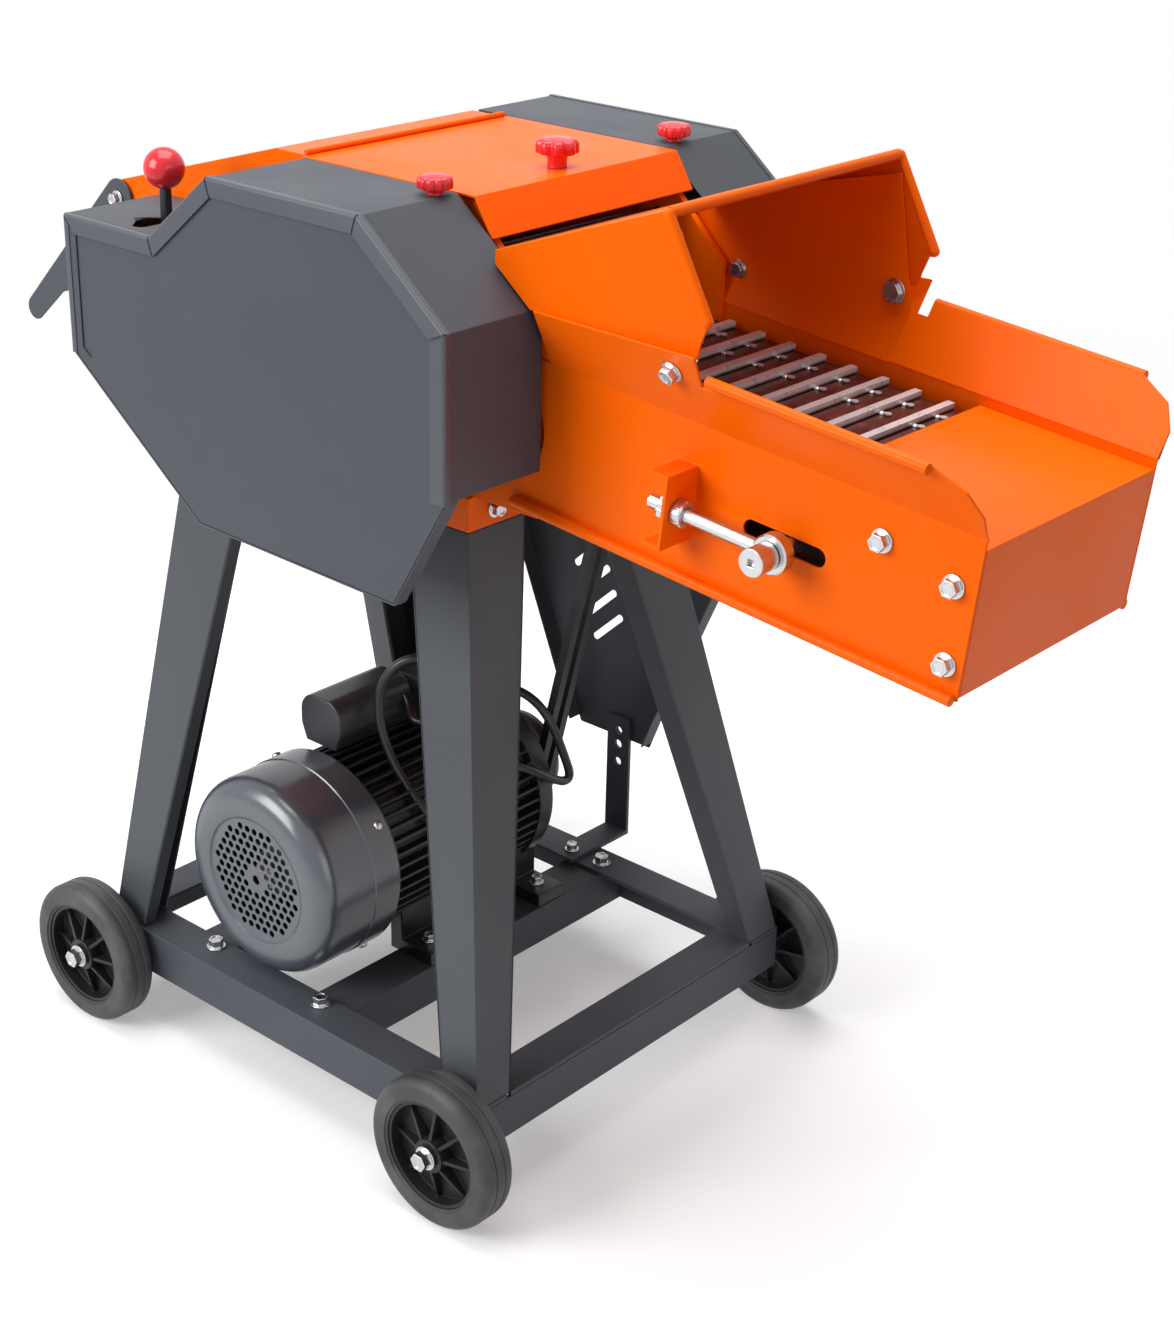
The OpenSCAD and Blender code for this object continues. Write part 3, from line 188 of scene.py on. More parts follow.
def make_dust():
    tree, given, out = new_group("Settled dust", {"Amount": 0.2}, ["Mask"])
    coords = add(tree, "TexCoord").outputs
    facing = add(tree, "SeparateXYZ", {"Vector": coords["Normal"]}).outputs["Z"]
    clouds = noise(tree, coords["Object"], DUST_SCALE, 5.0, 0.65)
    mask = math_node(tree, "MULTIPLY", ramp(tree, facing, 0.5, 1.0), ramp(tree, clouds, 0.35, 0.75))
    tree.links.new(math_node(tree, "MULTIPLY", mask, given["Amount"]), out["Mask"])
    return tree


handling = make_handling()
settled_dust = make_dust()
print("handling and dust:", len(handling.nodes) + len(settled_dust.nodes), "nodes")

# %% [markdown]
# Every finish is a material of its own with one shader in it. It is fed by the node groups above, and by
# a bump whose depth is given in millimetres, because that is how a coat or a casting is measured.

# %% Helpers that build a finish
def group_node(tree, group, **values):
    """Places a node group and sets its inputs by name."""
    made = add(tree, "Group", node_tree=group)
    for label, value in values.items():
        made.inputs[label.replace("_", " ").capitalize()].default_value = value
    return made.outputs


def mix_colour(tree, amount, first, second):
    """Two colours mixed by an amount."""
    return add(tree, "Mix", {0: amount, 6: first, 7: second}, data_type="RGBA").outputs[2]


def bumped(tree, height, depth_mm):
    """The normal of a surface whose height varies by this many millimetres."""
    sockets = {"Height": height, "Strength": 1.0, "Distance": depth_mm / 1000}
    return add(tree, "Bump", sockets).outputs["Normal"]


def new_material(name):
    """An empty node material and its output."""
    material = bpy.data.materials.new(name)
    material.use_nodes = True
    material.node_tree.nodes.clear()
    return material, material.node_tree, add(material.node_tree, "OutputMaterial")


# %% [markdown]
# Every painted part shares one recipe: a base colour that drifts by a few per cent, a bump from the coat
# grain, dull patches in the roughness and a trace of dust on top. Only the numbers change from the glossy
# orange enamel to the dull textured grey. The orange sheets and the red knobs are freshly wiped, so they
# get no dust and no rubs. The covers' folded lips are smoother than their faces and have a grey of their own.

# %% Painted finishes
RUBBED_COLOUR = (0.6, 0.6, 0.6, 1)
HAND_DULLING = 0.12
WIPED = {"dust": 0.0, "rub": 0.0}


def painted(name, colour, gloss, peel, bump_mm, grain=0.0, dust=0.03, rub=0.03, shine=0.35):
    """Paint or powder coat. gloss runs from 0, dull, to 1, mirror, and shine is how much it reflects."""
    material, tree, output = new_material(name)
    texture = group_node(tree, coat_grain, peel=peel, grain=grain)
    marks = group_node(tree, handling)
    shade = add(tree, "HueSaturation", {"Color": (*colour, 1), "Value": texture["Tone"]}).outputs["Color"]
    rubbed = mix_colour(tree, math_node(tree, "MULTIPLY", marks["Rubs"], rub), shade, RUBBED_COLOUR)
    dusty = mix_colour(tree, group_node(tree, settled_dust, amount=dust)["Mask"], rubbed, DUST_COLOUR)
    rough = 1 - gloss
    dull = ramp(tree, marks["Patches"], out_low=rough, out_high=min(1.0, rough + HAND_DULLING))
    shader = add(tree, "BsdfPrincipled", {
        "Base Color": dusty, "Roughness": dull,
        "Normal": bumped(tree, texture["Height"], bump_mm), "Specular IOR Level": shine,
    })
    tree.links.new(shader.outputs[0], output.inputs["Surface"])
    return material


PAINTS = {
    "orange_enamel": ((0.93, 0.130, 0.0), 0.72, 0.4, 0.03, {"shine": 0.10, **WIPED}),
    "grey_textured": ((0.054, 0.061, 0.075), 0.50, 0.2, 0.06, {"grain": 0.8, "rub": 0.02}),
    "grey_fold": ((0.052, 0.059, 0.073), 0.66, 0.3, 0.03, {"rub": 0.0, "shine": 0.6}),
    "leg_grey": ((0.060, 0.066, 0.076), 0.55, 0.5, 0.05, {}),
    "motor_black": ((0.010, 0.011, 0.014), 0.66, 1.0, 0.12, {"shine": 0.5}),
    "fan_cover_grey": ((0.058, 0.068, 0.086), 0.80, 0.3, 0.02, {"rub": 0.0, "shine": 1.0}),
    "capacitor_plastic": ((0.040, 0.042, 0.047), 0.74, 0.4, 0.04, {"shine": 0.5}),
    "knob_red": ((0.72, 0.012, 0.022), 0.84, 0.2, 0.02, {"shine": 0.5, **WIPED}),
    "rim_plastic": ((0.012, 0.013, 0.015), 0.6, 0.6, 0.05, {}),
    "cable_black": ((0.008, 0.008, 0.009), 0.70, 0.8, 0.04, {"dust": 0.0, "shine": 0.5}),
}
finishes = {}
for name, (colour, gloss, peel, bump_mm, rest) in PAINTS.items():
    finishes[name] = painted(name, colour, gloss, peel, bump_mm, **rest)
print("painted finishes:", len(finishes))

# %% [markdown]
# Bare and plated metal has no paint to hide its making. Turned and ground steel carries fine lines, and
# zinc plating has soft clouds where the bath was uneven. Both are metals, so their colour is the colour of
# their reflections.

# %% Metal finishes
STAIN_COLOUR = (0.12, 0.07, 0.04, 1)
LINE_STRETCH = (1.0, 0.08, 1.0)
CLOUD_SCALE, CLOUD_DULLING = 45.0, 0.14


def metal(name, colour, rough, line_scale, bump_mm, stain=0.0):
    """Plated or machined metal with fine lines and clouds."""
    material, tree, output = new_material(name)
    place = add(tree, "TexCoord").outputs["Object"]
    lines_at = add(tree, "Mapping", {"Vector": place, "Scale": LINE_STRETCH}).outputs["Vector"]
    lines = noise(tree, lines_at, line_scale, 3.0, 0.6)
    clouds = noise(tree, place, CLOUD_SCALE, 4.0)
    stained = mix_colour(tree, math_node(tree, "MULTIPLY", clouds, stain), (*colour, 1), STAIN_COLOUR)
    shader = add(tree, "BsdfPrincipled", {
        "Base Color": stained, "Roughness": ramp(tree, clouds, 0.3, 0.7, rough, rough + CLOUD_DULLING),
        "Metallic": 1.0, "Normal": bumped(tree, lines, bump_mm),
    })
    tree.links.new(shader.outputs[0], output.inputs["Surface"])
    return material


finishes["zinc_plate"] = metal("zinc_plate", (0.56, 0.56, 0.57), 0.2, 700.0, 0.01)
finishes["bare_steel"] = metal("bare_steel", (0.48, 0.47, 0.46), 0.3, 900.0, 0.02, stain=0.5)
finishes["cast_grey"] = metal("cast_grey", (0.20, 0.20, 0.20), 0.5, 500.0, 0.05, stain=0.3)
print("finishes with metals:", len(finishes))

# %% [markdown]
# Rubber is dull and drinks light. The tyre's flanks keep mould bloom, a grey haze in slow patches, and the
# belts are darker still.

# %% Rubber finishes
BLOOM_COLOUR, BLOOM_SCALE = (0.16, 0.16, 0.165, 1), 22.0
RUBBER_ROUGH, RUBBER_BUMP = 0.55, 0.12


def rubber(name, colour, bloom, grain_scale):
    """Moulded rubber with a haze of bloom."""
    material, tree, output = new_material(name)
    texture = group_node(tree, coat_grain, peel=0.3, grain=0.9, grain_scale=grain_scale)
    marks = group_node(tree, handling, patch_scale=BLOOM_SCALE)
    haze = math_node(tree, "MULTIPLY", marks["Patches"], bloom)
    shader = add(tree, "BsdfPrincipled", {
        "Base Color": mix_colour(tree, haze, (*colour, 1), BLOOM_COLOUR), "Roughness": RUBBER_ROUGH,
        "Normal": bumped(tree, texture["Height"], RUBBER_BUMP),
    })
    tree.links.new(shader.outputs[0], output.inputs["Surface"])
    return material


finishes["tyre_rubber"] = rubber("tyre_rubber", (0.030, 0.031, 0.034), 0.35, 700.0)
finishes["belt_rubber"] = rubber("belt_rubber", (0.014, 0.014, 0.015), 0.15, 900.0)
print("finishes with rubbers:", len(finishes))

# %% [markdown]
# The slats left the factory in maroon primer. Fodder drags along their ridges and shines them, so the
# colour goes from primer to a pale steel with height above the slat. That pale, near-white colour is also a
# painted highlight: it stands in for the lamps' reflection along the ridges, and the steel is only partly
# metallic, so that the ridges look white instead of mirroring the orange walls.

# %% Slat steel
RIDGE_ROOT, RIDGE_TOP = 42.5, 44.6
PRIMER, WORN_PRIMER = (0.070, 0.014, 0.010, 1), (0.17, 0.052, 0.042, 1)
# The pale steel of the ridge tops is worn metal, and also a painted highlight of the lamps above.
PALE_STEEL_AND_PAINTED_HIGHLIGHT, SHINED_METALLIC = (0.80, 0.80, 0.82, 1), 0.35
SCUFF_SCALE, SCUFF_BUMP = 70.0, 0.1


def make_slat_steel():
    along = Vector(joints["chain_tension"]["axis"]).normalized()
    square = Vector((-along.z, 0, along.x))
    base = Vector(joints["feed_spin"]["pos_m"]).dot(square)
    material, tree, output = new_material("slat_steel")
    place = add(tree, "TexCoord").outputs["Object"]
    height = add(tree, "VectorMath", {0: place, 1: square}, operation="DOT_PRODUCT").outputs["Value"]
    ridge = ramp(tree, height, base + RIDGE_ROOT / 1000, base + RIDGE_TOP / 1000)
    patches = noise(tree, place, SCUFF_SCALE, 5.0, 0.7)
    # Worn ridge tops, whose pale colour is also a painted highlight.
    bright = math_node(tree, "MULTIPLY", ridge, ramp(tree, patches, 0.34, 0.48, 0.85))
    primer = mix_colour(tree, ramp(tree, patches, 0.50, 0.68), PRIMER, WORN_PRIMER)
    shader = add(tree, "BsdfPrincipled", {
        "Base Color": mix_colour(tree, bright, primer, PALE_STEEL_AND_PAINTED_HIGHLIGHT),
        "Roughness": ramp(tree, patches, out_low=0.18, out_high=0.42),
        "Metallic": math_node(tree, "MULTIPLY", bright, SHINED_METALLIC),
        "Normal": bumped(tree, patches, SCUFF_BUMP),
    })
    tree.links.new(shader.outputs[0], output.inputs["Surface"])
    return material


finishes["slat_steel"] = make_slat_steel()
print("finishes:", sorted(finishes))

# %% [markdown]
# A press brake and a coat of paint leave every edge slightly round, and that thin round is what catches
# the light along a fold. Modifiers do this without touching the part itself: coplanar triangles are joined
# first, so that the bevel follows only the real edges. Clamping is off, because one tiny edge anywhere in a
# part would shrink the whole bevel to nothing and leave streaks of false shading on the flat faces.

# %% A finish for every part, and soft edges for most
EDGE_MM = {
    "grey_textured": 0.7, "orange_enamel": 0.6, "leg_grey": 1.0, "motor_black": 0.8,
    "capacitor_plastic": 1.5, "knob_red": 1.2, "zinc_plate": 0.5, "bare_steel": 0.4,
    "cast_grey": 1.2, "rim_plastic": 0.6, "tyre_rubber": 0.6,
}
SEAM_METRES = 1e-6
FLAT_DEGREES, EDGE_DEGREES = 0.5, 22
LARGE_FACES_RULE = 100


def soften(part, width_mm):
    """Rounds the edges of a part over a width in millimetres."""
    weld = part.modifiers.new("join seams", "WELD")
    weld.merge_threshold = SEAM_METRES
    flat = part.modifiers.new("join flats", "DECIMATE")
    flat.decimate_type = "DISSOLVE"
    flat.angle_limit = math.radians(FLAT_DEGREES)
    bevel = part.modifiers.new("soft edge", "BEVEL")
    bevel.width = width_mm / 1000
    bevel.segments = 2
    bevel.limit_method = "ANGLE"
    bevel.angle_limit = math.radians(EDGE_DEGREES)
    bevel.use_clamp_overlap = False
    smooth = part.modifiers.new("flat faces stay flat", "WEIGHTED_NORMAL")
    smooth.keep_sharp = True
    smooth.weight = LARGE_FACES_RULE
    part.data.polygons.foreach_set("use_smooth", [True] * len(part.data.polygons))


for name, part in parts.items():
    part.data.materials.clear()
    part.data.materials.append(finishes[finish_of[name]])
    if finish_of[name] in EDGE_MM:
        soften(part, EDGE_MM[finish_of[name]])
print("softened parts:", sum(finish_of[name] in EDGE_MM for name in parts))

# %% [markdown]
# New pieces are drawn in millimetres in a frame of their own: a turned piece as a profile swept round an
# axis, a stamped sheet as a filled outline with its holes, a cable as a smooth curve. Each one rides on the
# body that carries it and names the finish that it shares.

# %% Helpers that place a piece
MM = 0.001


def at(point, axis=(0, 0, 1)):
    """The place of a piece whose own +Z points along an axis, at a point in metres."""
    upright = Vector(axis).normalized().to_track_quat("Z", "Y").to_matrix().to_4x4()
    return Matrix.Translation(Vector(point)) @ upright


def place_piece(name, mesh, body, slot, where=Matrix.Identity(4), finish=None):
    """Puts a mesh in the scene as a piece of a body, with its slot's finish or one of the same colour."""
    piece = bpy.data.objects.new(name, mesh)
    bpy.context.scene.collection.objects.link(piece)
    mesh.transform(where)
    mesh.polygons.foreach_set("use_smooth", [True] * len(mesh.polygons))
    mesh.materials.clear()
    mesh.materials.append(finishes[finish or slot])
    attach(piece, body)
    return piece


def keep_edges(piece, degrees=35):
    """Smooth faces, with edges sharper than an angle kept."""
    sharp = piece.modifiers.new("keep sharp edges", "EDGE_SPLIT")
    sharp.split_angle = math.radians(degrees)


# %% [markdown]
# Turned, folded and moulded pieces are all skins over rings of points, so they share the code that draws
# the faces from each ring to the next. Only how the rings are found differs from piece to piece.

# %% Helpers that skin rings of points
def circle_points(radius, steps, centre=(0, 0), turn=0.0):
    """Points round a circle in millimetres."""
    angles = [turn + math.tau * k / steps for k in range(steps)]
    return [(centre[0] + radius * math.cos(a), centre[1] + radius * math.sin(a)) for a in angles]


def arc_points(centre, radius, start, stop, steps):
    """Points along an arc in millimetres, from one angle in degrees to another."""
    angles = [math.radians(start + (stop - start) * k / steps) for k in range(steps + 1)]
    return [(centre[0] + radius * math.cos(a), centre[1] + radius * math.sin(a)) for a in angles]


def skin(work, rings, bored=False):
    """Faces from each ring of points to the next. The end rings are capped, or joined if it is bored."""
    following = rings[1:] + rings[:1] if bored else rings[1:]
    for lower, upper in zip(rings, following):
        for k, corner in enumerate(lower):
            after = (k + 1) % len(lower)
            work.faces.new((corner, lower[after], upper[after], upper[k]))
    if not bored:
        work.faces.new(list(reversed(rings[0])))
        work.faces.new(rings[-1])


def finished_mesh(name, work):
    """The worked shape as a mesh whose faces all look outwards."""
    bmesh.ops.recalc_face_normals(work, faces=work.faces)
    mesh = bpy.data.meshes.new(name)
    work.to_mesh(mesh)
    work.free()
    return mesh


# %% [markdown]
# A lathe turns a profile round an axis, a press stamps a flat outline, and a cable is a round section drawn
# along a path. One helper for each of the three makes most of the machine's small pieces.

# %% Helpers that turn, stamp and draw
def turned(name, profile, body, slot, where, steps=48, bored=False):
    """A turned piece: profile gives (radius, height) in millimetres, from the bottom to the top.
    The profile of a bored piece goes on down the bore and closes on itself."""
    work = bmesh.new()
    rings = []
    for radius, height in profile:
        circle = circle_points(radius, steps)
        rings.append([work.verts.new((x * MM, y * MM, height * MM)) for x, y in circle])
    skin(work, rings, bored)
    piece = place_piece(name, finished_mesh(name, work), body, slot, where)
    keep_edges(piece)
    return piece


def stamped(name, outlines, thickness, body, slot, where, edge=0.0):
    """A sheet with holes: closed outlines in millimetres, the first one outside, extruded upwards."""
    curve = bpy.data.curves.new(name, "CURVE")
    curve.dimensions = "2D"
    curve.fill_mode = "BOTH"
    curve.extrude = (thickness / 2 - edge) * MM
    curve.bevel_depth = edge * MM
    for outline in outlines:
        spline = curve.splines.new("POLY")
        spline.points.add(len(outline) - 1)
        for point, (x, y) in zip(spline.points, outline):
            point.co = (x * MM, y * MM, 0, 1)
        spline.use_cyclic_u = True
    sheet = bpy.data.objects.new(name + "_outline", curve)
    mesh = bpy.data.meshes.new_from_object(sheet)
    bpy.data.objects.remove(sheet)
    mesh.transform(Matrix.Translation((0, 0, thickness / 2 * MM)))
    piece = place_piece(name, mesh, body, slot, where)
    keep_edges(piece)
    return piece


def cable(name, route, diameter, body, slot):
    """A smooth cable through points in millimetres."""
    curve = bpy.data.curves.new(name, "CURVE")
    curve.dimensions = "3D"
    curve.bevel_depth = diameter / 2 * MM
    curve.bevel_resolution = 5
    curve.resolution_u = 10
    curve.use_fill_caps = True
    spline = curve.splines.new("NURBS")
    spline.points.add(len(route) - 1)
    for point, place in zip(spline.points, route):
        point.co = (*(c * MM for c in place), 1)
    spline.order_u = 4
    spline.use_endpoint_u = True
    piece = bpy.data.objects.new(name, curve)
    bpy.context.scene.collection.objects.link(piece)
    curve.materials.append(finishes[slot])
    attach(piece, body)
    return piece


# %% [markdown]
# The tray leans a few degrees, so its pieces are placed in its own frame: along the tray, across it, and
# square to its floor. The chain's two shafts give that frame: the head shaft is its origin, and the line
# along which the tail shaft slides when the chain is tightened is its direction.

# %% The tray's own frame
ALONG = Vector(joints["chain_tension"]["axis"]).normalized()
SQUARE = Vector((-ALONG.z, 0, ALONG.x))
HEAD_SHAFT = Vector(joints["feed_spin"]["pos_m"])
TAIL_SHAFT = Vector(joints["idler_spin"]["pos_m"])
RUN_MM = (TAIL_SHAFT - HEAD_SHAFT).length / MM
SIDES = ((-1, "left"), (1, "right"))


def on_tray(along, across, square):
    """A point of the tray in metres, from millimetres measured from the head shaft."""
    return HEAD_SHAFT + ALONG * along * MM + Vector((0, across * MM, 0)) + SQUARE * square * MM


print("tray run:", round(RUN_MM, 1), "mm")

# %% [markdown]
# Two long bolts pull the tail shaft back to keep the chain tight. Each is a plated rod through a collar
# on its bracket, with a ring at the end that holds the shaft, and a nut behind the bracket. The shaft's
# end carries a stub with a square socket for a key. Rod, collar and ring are lathe work, so each is a
# profile. Nut and stub have flats or a square hole, so they are outlines given a thickness.

# %% Tension rods
ROD_R, ROD_ACROSS, ROD_BEHIND, ROD_IN_RING = 5.0, 124.0, 20.0, 1.0
BRACKET_BACK, BRACKET_FRONT = 170.0, 173.0
COLLAR_R, COLLAR_MM, COLLAR_GAP, COLLAR_EDGE = 9.5, 8.0, 0.4, 1.0
NUT_R, NUT_MM, NUT_GAP, NUT_BITE, NUT_EDGE = 8.4, 8.0, 0.6, 0.1, 0.6
SHAFT_R, RING_R, RING_MM, RING_CLEAR, RING_EDGE = 6.0, 14.0, 11.0, 0.3, 1.2
STUB_R, STUB_MM, STUB_FROM, STUB_EDGE = 9.0, 18.0, 6.2, 0.8
SOCKET_R, SOCKET_MM, FLOOR_R, FLOOR_SUNK = 4.6, 3.5, 8.0, 0.1


def ring_profile(inner, outer, width, edge):
    """The profile of a bored ring with chamfered edges, from the bore's bottom round to its top."""
    bottom = [(inner, edge), (inner + edge, 0), (outer - edge, 0), (outer, edge)]
    return bottom + [(radius, width - height) for radius, height in reversed(bottom)]


def tension_rod(side, label):
    """One rod with its ring, collar, nut and stub."""
    across = side * ROD_ACROSS
    outwards = (0, side, 0)
    near, far = BRACKET_BACK - ROD_BEHIND, RUN_MM - RING_R + ROD_IN_RING
    rod = turned(f"tension_rod_{label}", [(ROD_R - 1, 0), (ROD_R, 1), (ROD_R, far - near)],
        "tensioner", "zinc_plate", at(on_tray(near, across, 0), ALONG))
    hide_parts("tension_rods")
    collar = ring_profile(ROD_R, COLLAR_R, COLLAR_MM, COLLAR_EDGE)
    turned(f"rod_collar_{label}", collar, "frame", "zinc_plate",
        at(on_tray(BRACKET_FRONT + COLLAR_GAP, across, 0), ALONG), bored=True)
    nut = [circle_points(NUT_R, 6), circle_points(ROD_R - NUT_BITE, 24)]
    stamped(f"rod_nut_{label}", nut, NUT_MM, "frame", "zinc_plate",
        at(on_tray(BRACKET_BACK - NUT_GAP - NUT_MM, across, 0), ALONG), edge=NUT_EDGE)
    ring = ring_profile(SHAFT_R + RING_CLEAR, RING_R, RING_MM, RING_EDGE)
    turned(f"rod_ring_{label}", ring, "tensioner", "zinc_plate",
        at(on_tray(RUN_MM, across - side * RING_MM / 2, 0), outwards), bored=True)
    stub = [circle_points(STUB_R, 40), circle_points(SOCKET_R, 4, turn=math.radians(45))]
    stamped(f"shaft_stub_{label}", stub, STUB_MM, "idler", "zinc_plate",
        at(on_tray(RUN_MM, across + side * STUB_FROM, 0), outwards), edge=STUB_EDGE)
    stub_floor = [circle_points(FLOOR_R, 40)]
    stamped(f"stub_floor_{label}", stub_floor, STUB_MM - SOCKET_MM, "idler", "zinc_plate",
        at(on_tray(RUN_MM, across + side * (STUB_FROM + FLOOR_SUNK), 0), outwards))


for side, label in SIDES:
    tension_rod(side, label)
print("tension rods:", len(SIDES), "at", ROD_ACROSS, "mm from the middle")

# %% [markdown]
# The motor's fan cover is a deep-drawn cup: a wide round edge, a flat grille set a little back inside a
# ring groove, and a step near its mouth where it slips over the motor. The cup is a closed profile turned
# round the motor's axis. The grille is one stamped disc, and its holes sit on a staggered grid, which is
# how such discs are punched.

# %% Fan cover
MOTOR_AXIS = Vector(joints["motor_spin"]["pos_m"])
FAN_FACE = Vector((MOTOR_AXIS.x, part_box("fan_cover")[0].y, MOTOR_AXIS.z))
CUP_R, CUP_DEPTH, CUP_EDGE, CUP_WALL, CUP_STEPS = 87.0, 82.0, 19.0, 1.5, 96
MOUTH_MM, MOUTH_PROUD = 27.0, 0.9
GRILLE_R, GRILLE_SET_BACK, GRILLE_MM, GRILLE_EDGE = 55.0, 2.2, 1.4, 0.25
HUB_HOLE_R, HOLE_R, HOLE_PITCH, HOLE_STEPS = 4.4, 3.25, 8.6, 14
HOLES_FROM, HOLES_TO = 14.0, 50.5
SCREW_PROFILE = [(4.2, 0), (4.2, 0.8), (3.6, 2.0), (2.2, 2.8), (0.1, 3.0)]
SCREW_COUNT, SCREW_FIRST, SCREW_FROM_MOUTH = 4, 35, 9.0


def cup_profile():
    """The cup's wall as a closed profile: outside from the grille to the mouth, then back inside."""
    outside = [(GRILLE_R, GRILLE_SET_BACK), (GRILLE_R + 0.8, 0.6), (GRILLE_R + 2.2, 0)]
    for k in range(9):
        turn = math.radians(90 * k / 8)
        outside.append((CUP_R - CUP_EDGE + CUP_EDGE * math.sin(turn), CUP_EDGE - CUP_EDGE * math.cos(turn)))
    step, mouth_r = CUP_DEPTH - MOUTH_MM, CUP_R + MOUTH_PROUD
    outside += [(CUP_R, step), (mouth_r, step + 0.8), (mouth_r, CUP_DEPTH)]
    inside = []
    for radius, height in reversed(outside):
        inside.append((radius - CUP_WALL, height + (CUP_WALL if height < CUP_EDGE else 0)))
    return outside + inside


def grille_holes():
    """Centres of a staggered grid between the plain hub and the ring groove."""
    row_step = HOLE_PITCH * math.sqrt(3) / 2
    rows = int(HOLES_TO / row_step) + 1
    for row in range(-rows, rows + 1):
        for column in range(-rows, rows + 1):
            x, y = HOLE_PITCH * (column + 0.5 * (row % 2)), row * row_step
            if HOLES_FROM < math.hypot(x, y) < HOLES_TO:
                yield x, y


cup = turned("fan_cup", cup_profile(), "frame", "fan_cover_grey",
    at(FAN_FACE, (0, 1, 0)), steps=CUP_STEPS, bored=True)
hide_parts("fan_cover")
holes = [circle_points(HOLE_R, HOLE_STEPS, centre) for centre in grille_holes()]
disc = [circle_points(GRILLE_R + 0.3, CUP_STEPS), circle_points(HUB_HOLE_R, 24)]
stamped("fan_grille", disc + holes, GRILLE_MM, "frame", "fan_cover_grey",
    at(FAN_FACE + Vector((0, GRILLE_SET_BACK * MM, 0)), (0, 1, 0)), edge=GRILLE_EDGE)
for k in range(SCREW_COUNT):
    turn = math.radians(SCREW_FIRST + 360 / SCREW_COUNT * k)
    out = Vector((math.cos(turn), 0, math.sin(turn)))
    seat = FAN_FACE + out * (CUP_R + 0.8) * MM + Vector((0, (CUP_DEPTH - SCREW_FROM_MOUTH) * MM, 0))
    turned(f"fan_cover_screw_{k}", SCREW_PROFILE, "frame", "zinc_plate", at(seat, out), steps=20)
print("grille holes:", len(holes))

# %% [markdown]
# Three short leads join the motor's boxes. They are thick, stiff and glossy, so they stand in wide loops.
# A curve with a round bevel is the natural way to draw one, and its points are places read off the loop.

# %% Motor leads
LEAD_D = 8.0
LEAD_ROUTES = {
    "capacitor_lead": [
        (-106, 34, 288), (-96, 34, 290), (-84, 26, 306), (-82, 6, 334), (-92, -18, 352),
        (-112, -34, 345), (-126, -41, 318), (-124, -43, 290), (-112, -44, 265), (-94, -44, 244),
        (-76, -42, 226), (-63, -36, 210), (-60, -28, 198), (-70, -24, 192),
    ],
    "short_lead": [
        (-140, 4, 292), (-132, 2, 286), (-124, -6, 279), (-112, -6, 278), (-104, 6, 281),
        (-100, 20, 286), (-106, 28, 290),
    ],
    "supply_lead": [
        (-104, 80, 286), (-90, 84, 290), (-70, 94, 282), (-54, 100, 258), (-50, 112, 222),
        (-50, 120, 204), (-50, 112, 199), (-50, 88, 214), (-51, 60, 234), (-62, 40, 242), (-82, 34, 240),
    ],
}
for name, route in LEAD_ROUTES.items():
    lead = cable(name, route, LEAD_D, "frame", "cable_black")
    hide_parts("motor_cables")
print("motor leads:", len(LEAD_ROUTES))

# %% [markdown]
# The slats are riveted to the chain in pairs. Plated rivet heads stay bright in the maroon, and they are
# what the eye counts on the real machine. All the heads are one piece, with a dome at every place where a
# slat of the upper run has a rivet.

# %% Slat rivets
LINK_PITCH = 28.2
LINK_COUNT = round(RUN_MM / LINK_PITCH)
SLAT_TOP = 42.04
RIVET_ROWS = (-75, -47, 47, 75)
RIVET_ALONG = (-8.5, 0.5)
RIVET_R, RIVET_RISE, RIVET_SUNK, RIVET_STEPS = 3.1, 2.3, 0.2, 14
DOME_DEGREES = (0, 25, 50, 75)


def rivet_head(work, where):
    """A low dome that stands at a place."""
    rings = []
    for degrees in DOME_DEGREES:
        radius = RIVET_R * math.cos(math.radians(degrees))
        height = RIVET_RISE * math.sin(math.radians(degrees))
        circle = circle_points(radius, RIVET_STEPS)
        rings.append([work.verts.new(where @ Vector((x * MM, y * MM, height * MM))) for x, y in circle])
    skin(work, rings)


def make_rivets():
    work = bmesh.new()
    pitch = RUN_MM / LINK_COUNT
    for link in range(LINK_COUNT):
        for across in RIVET_ROWS:
            for shift in RIVET_ALONG:
                foot = on_tray(pitch * (link + 0.5) + shift, across, SLAT_TOP - RIVET_SUNK)
                rivet_head(work, at(foot, SQUARE))
    return finished_mesh("slat_rivets", work)


place_piece("slat_rivets", make_rivets(), "frame", "zinc_plate")
print("rivets:", LINK_COUNT * len(RIVET_ROWS) * len(RIVET_ALONG))

# %% [markdown]
# Each cover is one folded band with a flat panel set inside it. The band's edge is folded over the panel
# as a lip, and a fold of thin sheet has a round back, which is where the light runs along it in a bright
# line. At every corner the lips are cut back a little, because two folds can't pass through each other.
# One strip per straight edge is swept along it, and its lip ends short of the mitre line.

# %% Cover lips
LIP_FOLD_R, LIP_PROUD, LIP_FACE, LIP_RUN_OUT, LIP_GAP = 2.4, 0.7, 1.9, 4.0, 1.0
LIP_SHEET, LIP_SUNK, FACE_INSET, FOLD_STEPS = 1.4, 0.3, 1.2, 6
LIP_WIDTH, REAR_LIP_WIDTH = 13, 6
LEFT_LIPS = [(-402, -163), (-402, -55), (-302, -55), (-235, 0), (-81, 0), (0, -65), (0, -186)]
RIGHT_LIPS = [(-344, -133), (-275, 0), (-81, 0), (0, -65), (0, -186)]


